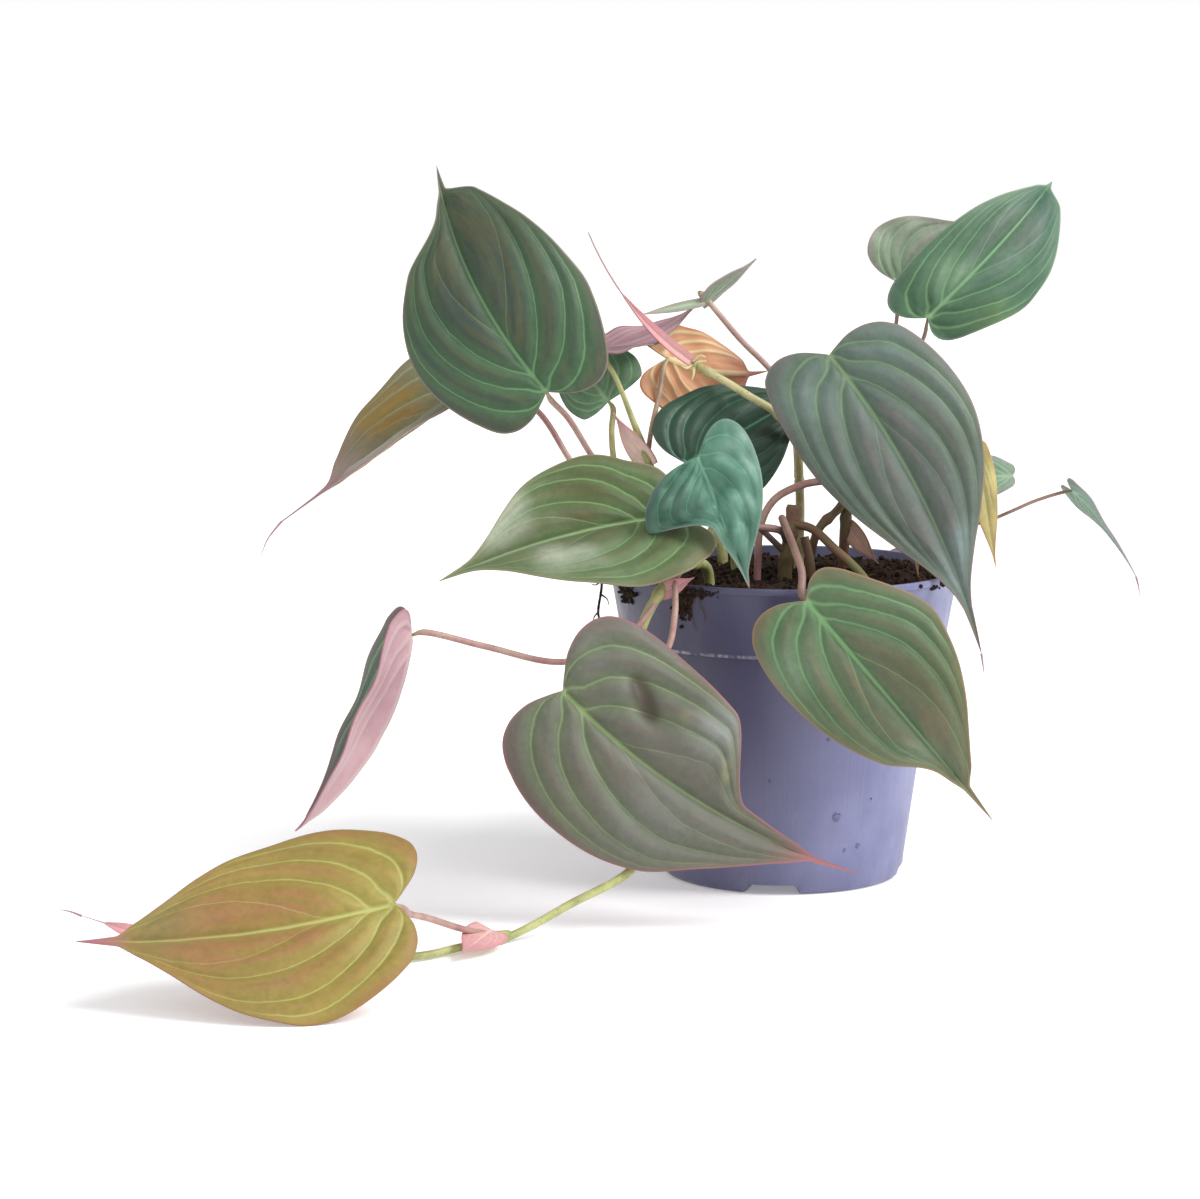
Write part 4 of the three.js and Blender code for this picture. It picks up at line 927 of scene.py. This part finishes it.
pot = {
    "steps": 180,
    "outside": (
        (0, 0), (14, 0), (16, 3.3), (33, 3.3), (35, 0), (39, 0), (40.3, 0.5), (41.1, 1.4),
        (41.4, 2.4), (41.8, 4), (42, 6.5), (52.5, 81), (52.7, 81.6), (53.3, 81.9), (55, 82),
        (55.5, 82.3), (55.7, 83), (59.2, 103.2), (59.4, 103.6), (59.9, 103.8), (60, 104.2),
        (60, 105.5), (59.8, 105.9), (59.4, 106)),
    "inside": (
        (58.9, 106), (58.5, 105.8), (58.3, 105.3), (54.5, 83.2), (54.2, 82.6), (51.7, 81.2),
        (51.4, 80.6), (40.6, 5.2), (39.8, 4.5), (0, 4.5)),
    "footFrom": 34.5, "footTo": 39.5, "collar": 82.6, "sharpFrom": 40,
    "notchWidth": 18, "notchHeight": 3.3, "notchCount": 4, "notchTurn": -97.5, "notchRing": 40,
    "holeCount": 8, "holeRadius": 3, "holeRing": 24, "holeSides": 32, "cutHeight": 3.9, "cutDepth": 4,
    # the dark blue-grey for the side under the leaves is painted shadow
    "plastic": "#8486ab", "shade": "#6f7197", "pale": "#b4b4cc", "smear": "#33302f", "paintedLeafShadow": "#3e3e57",
    "waterMark": "#3c3a4c", "wornEdge": "#d9d6e0",
}


def potRadius(z):
    # the outer wall at a height
    points = [p for p in pot["outside"] if p[0] > pot["footTo"]]
    for (r, low), (nextR, high) in zip(points, points[1:]):
        if low <= z <= high:
            return r + (nextR - r) * (z - low) / max(0.001, high - low)
    return points[-1][0]


def fromFront(angle):
    # the level direction at an angle from the front
    return Vector((math.sin(angle), -math.cos(angle), 0))


def upright(z):
    return Vector((0, 0, z))


def makePotMaterial():
    material, tree, shader = newMaterial("potPlastic", Specular_IOR_Level=0.5)
    place = objectPlace(tree)
    x, y, z = addFilled(tree, "SeparateXYZ", place)
    turn = times(tree, maths(tree, "ARCTAN2", y, x), 0.055)
    around = addFilled(tree, "CombineXYZ", turn, z)[0]
    lines = speckle(tree, stretched(tree, around, 2400, 14, 1), 1, 2, 0.6)
    cloud = speckle(tree, stretched(tree, around, 40, 40, 1), 1, 4, 0.6)
    scuffs = speckle(tree, stretched(tree, around, 300, 90, 1), 1, 5, 0.75, 0.6)
    # painted shadow: the side under the leaves is darker, as the shadow that the leaves cast on it, with a
    # wavy edge; water marks are spotted over the pot
    shadowEdge = plus(tree, x, times(tree, cloud, 0.03))
    paintedLeafShadow = times(tree, fade(tree, shadowEdge, -0.01, 0.055, 0.95, 0), fade(tree, z, 0.0, 0.085, 0.5, 1))
    spots = textured(tree, "TexVoronoi", place, Scale=130)
    few = fade(tree, spots["Color"], 0.8, 0.86)
    spot = times(tree, fade(tree, spots["Distance"], 0.05, 0.13, 0.75, 0), few)
    fromCollar = maths(tree, "ABSOLUTE", maths(tree, "SUBTRACT", z, pot["collar"] * mm))
    worn = times(tree, fade(tree, fromCollar, 0.0002, 0.0009, 0.5, 0), fade(tree, scuffs, 0.4, 0.62))
    skin = layered(
        tree, pot["plastic"],
        (fade(tree, cloud, 0.3, 0.7), pot["shade"]),
        (fade(tree, lines, 0.35, 0.75, 0, 0.07), pot["pale"]),
        (fade(tree, scuffs, 0.62, 0.78, 0, 0.3), pot["pale"]),
        # painted shadow of the leaves
        (paintedLeafShadow, pot["paintedLeafShadow"]),
        (spot, pot["waterMark"]),
        (times(tree, fade(tree, z, 0.0, 0.012, 0.35, 0), scuffs), pot["smear"]),
        (worn, pot["wornEdge"]))
    plug(tree, skin, shader.inputs["Base Color"])
    uneven = plus(tree, scuffs, times(tree, spot, -0.6))
    plug(tree, fade(tree, uneven, 0.25, 0.75, 0.3, 0.5), shader.inputs["Roughness"])
    relief(tree, shader, plus(tree, times(tree, lines, 0.3), times(tree, scuffs, 0.7)), 0.3, 0.0002)
    return material


def cutNotches(bm):
    pitch = 360 / pot["notchCount"]
    half = pot["notchWidth"] / 2
    for vert in bm.verts:
        if math.hypot(vert.co.x, vert.co.y) < pot["footFrom"] or vert.co.z > pot["notchHeight"] + 0.1:
            continue
        turn = math.degrees(math.atan2(vert.co.y, vert.co.x)) - pot["notchTurn"]
        away = math.radians(abs((turn + pitch / 2) % pitch - pitch / 2)) * pot["notchRing"]
        lift = pot["notchHeight"] * (1 - smoothstep(away, half - 1.6, half + 0.8))
        vert.co.z = max(vert.co.z, lift)


def makeHoleCutter():
    bm = bmesh.new()
    for i in range(pot["holeCount"]):
        turn = (i + 0.5) / pot["holeCount"] * 2 * math.pi
        centre = Vector((math.cos(turn), math.sin(turn), 0)) * pot["holeRing"] + upright(pot["cutHeight"])
        bmesh.ops.create_cone(
            bm, cap_ends=True, segments=pot["holeSides"], radius1=pot["holeRadius"],
            radius2=pot["holeRadius"], depth=pot["cutDepth"], matrix=Matrix.Translation(centre))
    bmesh.ops.scale(bm, vec=(mm, mm, mm), verts=bm.verts)
    mesh = bpy.data.meshes.new("holes")
    bm.to_mesh(mesh)
    bm.free()
    return addObject("holes", mesh)


def makePot():
    bm = turned(pot["outside"] + pot["inside"], pot["steps"])
    cutNotches(bm)
    piece = finishPiece(bm, "pot_moulding", [makePotMaterial()], "pot_plastic", "pot")
    cutter = makeHoleCutter()
    cut = piece.modifiers.new("holes", "BOOLEAN")
    cut.operation = "DIFFERENCE"
    cut.solver = "EXACT"
    cut.object = cutter
    ready = piece.evaluated_get(bpy.context.evaluated_depsgraph_get())
    piece.data = bpy.data.meshes.new_from_object(ready)
    piece.modifiers.clear()
    bpy.data.objects.remove(cutter)
    piece.data.shade_smooth()
    piece.data.set_sharp_from_angle(angle=math.radians(pot["sharpFrom"]))


makePot()
print("pot made")

# Water left on the pot: angle from the front in degrees, height, size
drops = (
    (21, 27, 1.5), (33, 16, 0.9), (26, 15, 0.6), (44, 48, 0.7), (15, 54, 0.6), (38, 32, 0.6), (-8, 40, 0.5))


def makeDrops():
    water = makeBlotched(
        "water", 300, "#f4f6fa", "#dfe4ee", 2, Roughness=0.03, IOR=1.33, Transmission_Weight=1.0)
    bm = bmesh.new()
    for angle, z, size in drops:
        outward = fromFront(math.radians(angle))
        spot = outward * (potRadius(z) - 0.05) + upright(z)
        drooping = (outward - upright(0.12)).normalized()
        facing = drooping.to_track_quat("Z", "Y").to_matrix().to_4x4()
        shape = Matrix.Diagonal((size, size * 1.15, size * 0.45, 1))
        bmesh.ops.create_uvsphere(
            bm, u_segments=24, v_segments=14, radius=1, matrix=Matrix.Translation(spot) @ facing @ shape)
    finishPiece(bm, "pot_drops", [water], "pot_plastic")


makeDrops()
print("drops made:", len(drops))

# Soil

soil = {
    "top": 102.5, "ripple": 1.3, "edge": 57.2, "lumps": 1.5, "grit": 0.7, "steps": 220, "rings": 54,
    "below": ((0, 5), (39.8, 5), (51, 80.6), (54, 83.2)), "sinkFrom": 54, "sink": 1.2,
    "crumbs": 1500, "crumbSeed": 4, "fibres": 90, "fibreSeed": 9, "fibreEdge": 54,
    "dark": "#17110e", "brown": "#33261e", "fibre": "#6b3f2c",
}


def soilHeight(x, y):
    bumps = math.sin(x * 0.31 + 1) * math.cos(y * 0.27) + 0.6 * math.sin(x * 0.13 - y * 0.41)
    lumps = noise.fractal(Vector((x / 6, y / 6, 3)), 1, 2, 3) * soil["lumps"]
    grit = noise.noise(Vector((x / 1.3, y / 1.3, 9))) * soil["grit"]
    return soil["top"] + soil["ripple"] * bumps * 0.8 + lumps + grit


def makeSoilMaterial(name, dark, brown, size):
    material, tree, shader = newMaterial(name, Specular_IOR_Level=0.2)
    place = objectPlace(tree)
    clump = speckle(tree, place, size, 5, 0.7)
    grain = speckle(tree, place, size * 6, 3, 0.7)
    skin = layered(
        tree, dark,
        (fade(tree, clump, 0.35, 0.68), brown),
        (fade(tree, grain, 0.6, 0.75, 0, 0.5), soil["fibre"]))
    plug(tree, skin, shader.inputs["Base Color"])
    plug(tree, fade(tree, grain, 0.3, 0.7, 0.65, 0.98), shader.inputs["Roughness"])
    relief(tree, shader, plus(tree, clump, times(tree, grain, 0.5)), 0.9, 0.0008)
    return material


def makeSoil():
    rings = tuple((soil["edge"] * (1 - i / soil["rings"]), soil["top"]) for i in range(soil["rings"] + 1))
    bm = turned(soil["below"] + rings, soil["steps"])
    for vert in bm.verts:
        if vert.co.z > soil["top"] - 1:
            sunk = smoothstep(math.hypot(vert.co.x, vert.co.y), soil["sinkFrom"], soil["edge"])
            vert.co.z = soilHeight(vert.co.x, vert.co.y) - sunk * soil["sink"]
    material = makeSoilMaterial("soilDark", soil["dark"], soil["brown"], 160)
    finishPiece(bm, "soil_bed", [material], "soil_dark", "soil")


def spotOnSoil(rng, edge):
    turn = rng.uniform(0, 2 * math.pi)
    r = edge * math.sqrt(rng.random())
    return r * math.cos(turn), r * math.sin(turn)


def addCrumb(bm, spot, size, rng):
    angle = rng.uniform(0, 6.28)
    turn = Matrix.Rotation(angle, 4, Vector((rng.random(), rng.random(), rng.random() + 0.1)))
    shape = Matrix.Diagonal((size * rng.uniform(0.7, 1.5), size * rng.uniform(0.6, 1.1), size, 1))
    bmesh.ops.create_icosphere(bm, subdivisions=1, radius=1, matrix=Matrix.Translation(spot) @ turn @ shape)


# Soil that clings to the rim: angle from the front, height, spread across and down, count
clinging = (
    (-67, 101, 6, 3.6, 170), (-37, 100, 4, 5, 190), (-31, 104, 8, 1.4, 60), (58, 104, 8, 1.5, 20),
    (140, 102, 8, 3, 40), (-150, 103, 7, 2.5, 30))


def makeCrumbs():
    rng = random.Random(soil["crumbSeed"])
    bm = bmesh.new()
    for i in range(soil["crumbs"]):
        x, y = spotOnSoil(rng, soil["edge"] - 1)
        size = rng.choice((0.35, 0.45, 0.6, 0.8, 1.2))
        addCrumb(bm, Vector((x, y, soilHeight(x, y) + size * 0.3)), size, rng)
    for angle, height, across, down, count in clinging:
        for i in range(count):
            outward = fromFront(math.radians(angle + rng.gauss(0, across / 2.2)))
            z = min(105.6, height + rng.gauss(0, down / 2))
            size = rng.uniform(0.3, 0.95)
            addCrumb(bm, outward * (potRadius(z) + size * 0.25) + upright(z), size, rng)
    material = makeSoilMaterial("soilCrumbs", "#1d1511", "#40301f", 320)
    finishPiece(bm, "soil_crumbs", [material], "soil_dark", smooth=False)


# Roots that hang over the rim: the way over it as (reach, height), then for each root its angle from
# the front and how far down it reaches
overRim = ((57, 104), (59.6, 106.5))
hangingRoots = ((-34, 14), (-40, 9), (-30, 11), (-64, 6), (-70, 8))


def makeFibres():
    rng = random.Random(soil["fibreSeed"])
    bm = bmesh.new()
    for i in range(soil["fibres"]):
        x, y = spotOnSoil(rng, soil["fibreEdge"])
        heading = rng.uniform(0, 6.28)
        path = []
        for k in range(6):
            path.append((x, y, soilHeight(x, y) + 0.5 + rng.uniform(0, 0.6)))
            heading += rng.uniform(-0.7, 0.7)
            x += 1.5 * math.cos(heading)
            y += 1.5 * math.sin(heading)
            if math.hypot(x, y) > soil["fibreEdge"] + 2:
                break
        if len(path) > 2:
            size = rng.uniform(0.09, 0.2)
            growTube(bm, path, 1, tapering(size, size), 5)
    for angle, drop in hangingRoots:
        outward = fromFront(math.radians(angle))
        sideways = Vector((outward.y, -outward.x, 0))
        path = [outward * reach + upright(height) for reach, height in overRim]
        for k in range(1, 5):
            z = 105 - drop * k / 4
            path.append(outward * (potRadius(z) + 0.4) + sideways * rng.uniform(-1.5, 1.5) + upright(z))
        growTube(bm, path, 1.2, tapering(0.22, 0.08), 5)
    material = makeBlotched("fibres", 400, "#7a4630", "#4a2f22", Roughness=0.8, Specular_IOR_Level=0.2)
    finishPiece(bm, "soil_fibres", [material], "soil_dark")


makeSoil()
makeCrumbs()
makeFibres()
print("soil made")

# Aerial root

root = {
    "path": (
        (-60, 3, 136), (-60.7, -4, 127), (-61.5, -13, 114), (-62.5, -19, 101), (-63.5, -22, 92),
        (-61.5, -23, 88.5)),
    "radii": (0.62, 0.4), "branchRadii": (0.357, 0.119),
    "branches": (
        ((-61.6, -14, 112), (-60, -15.5, 109), (-60.3, -16.5, 106)),
        ((-62.3, -18, 103.5), (-64.5, -18.5, 102), (-66, -19, 102.5)),
        ((-62.7, -19.8, 99), (-60.6, -20.5, 97.5), (-60, -21, 95.5)),
        ((-63.3, -21.6, 93.5), (-65, -22, 91.5), (-65.2, -22.3, 89.5))),
}


def makeAerialRoot():
    bm = bmesh.new()
    evenly = tapering(*root["radii"])

    def radiusAt(distance, total):
        return evenly(distance, total) + 0.12 * noise.noise(Vector((distance / 1.7, 0, 5)))

    growTube(bm, root["path"], 0.8, radiusAt, 10)
    for branch in root["branches"]:
        growTube(bm, branch, 0.6, tapering(*root["branchRadii"]), 8)
    material, tree, shader = newMaterial("rootDark", Roughness=0.8, Specular_IOR_Level=0.25)
    blotch = speckle(tree, objectPlace(tree), 260, 4, 0.7)
    skin = layered(tree, "#2a211d", (fade(tree, blotch, 0.4, 0.65), "#5c473a"))
    plug(tree, skin, shader.inputs["Base Color"])
    relief(tree, shader, blotch, 0.8, 0.0004)
    finishPiece(bm, "root_fine", [material], "root_dark", "aerial_root")


makeAerialRoot()
print("root made")

# Dry threads at the tips, and pale tufts at the node that the rolled leaf grows from

threads = {
    "radii": (0.42, 0.084), "spacing": 1, "sides": 6,
    "paths": (
        ((-172, 1.2, 121.4), (-174.5, 0.2, 118.5), (-177, -0.8, 115), (-179, -1.4, 110)),
        ((121.7, 5.2, 101.6), (122.6, 4.6, 98), (122.8, 4.3, 95)),
        ((-225.4, -118.1, 10.7), (-229, -117.6, 12), (-232.5, -117.2, 12.6)),
        ((63.3, -44.9, 82.6), (63.9, -45.4, 78.5), (64.3, -45.6, 75.5))),
}
tufts = {
    "radii": (0.65, 0.26), "spacing": 0.6, "sides": 8,
    "paths": (
        ((-31, 10.2, 175.5), (-28.5, 8.8, 177.6), (-26.8, 8.4, 177)),
        ((-30.5, 9.8, 174.2), (-29.4, 8, 175.4), (-26.6, 7.6, 175.8)),
        ((-30.8, 9.6, 173.6), (-31, 8, 171), (-31.6, 7.6, 169)),
        ((-31.5, 9.8, 174), (-33.5, 8.4, 173.2), (-35, 8, 174))),
}


def makeStrands(name, strands, material):
    bm = bmesh.new()
    for path in strands["paths"]:
        growTube(bm, path, strands["spacing"], tapering(*strands["radii"]), strands["sides"])
    finishPiece(bm, name, [material], "sheath_pink")


makeStrands("tip_threads", threads, makeBlotched(
    "threads", 90, "#b98f96", "#8f7f84", Roughness=0.6, Specular_IOR_Level=0.3))
makeStrands("node_tufts", tufts, makeBlotched(
    "tufts", 200, "#e6dca8", "#c9c48a", Roughness=0.5, Specular_IOR_Level=0.3))
print("threads and tufts made")

# Floor, light and camera

studio = {
    "sky": 0.46, "floorReach": 4, "camera": (-0.063, -1.2, 0.261), "tilt": 82.1, "lens": 105.87,
    # where each light stands, its angle in degrees and its strength
    "lights": {"side": ((1.5, -0.5, 1.5), 30, 2.7), "front": ((-0.5, -1.2, 1.2), 70, 0.8)},
}


def makeFloor():
    bm = bmesh.new()
    bmesh.ops.create_grid(bm, x_segments=8, y_segments=8, size=studio["floorReach"])
    mesh = bpy.data.meshes.new("floor")
    bm.to_mesh(mesh)
    bm.free()
    mesh.materials.append(makeBlotched(
        "floorPale", 2, "#fbfbfb", "#f7f7f8", 2, Roughness=0.7, Specular_IOR_Level=0.1,
        Emission_Color=(1, 1, 1, 1), Emission_Strength=0.22))
    addObject("floor", mesh)


def addLight(name, place, softness, strength):
    lamp = bpy.data.lights.new(name, "SUN")
    lamp.angle = math.radians(softness)
    lamp.energy = strength
    light = addObject(name, lamp)
    light.location = place
    light.rotation_euler = Vector(place).to_track_quat("Z", "Y").to_euler()


def setStudio():
    makeFloor()
    for name, values in studio["lights"].items():
        addLight(name, *values)
    scene = bpy.context.scene
    world = bpy.data.worlds.new("studio")
    world.use_nodes = True
    tree = world.node_tree
    background = tree.nodes["Background"]
    seen = addNode(tree, "LightPath").outputs["Is Camera Ray"]
    background.inputs["Color"].default_value = (1, 1, 1, 1)
    plug(tree, fade(tree, seen, 0, 1, studio["sky"], 1.0), background.inputs["Strength"])
    scene.world = world
    scene.view_settings.view_transform = "Standard"
    camera = addObject("camera", bpy.data.cameras.new("camera"))
    camera.location = studio["camera"]
    camera.rotation_euler = (math.radians(studio["tilt"]), 0, 0)
    camera.data.lens = studio["lens"]
    scene.camera = camera


setStudio()
print("studio set")
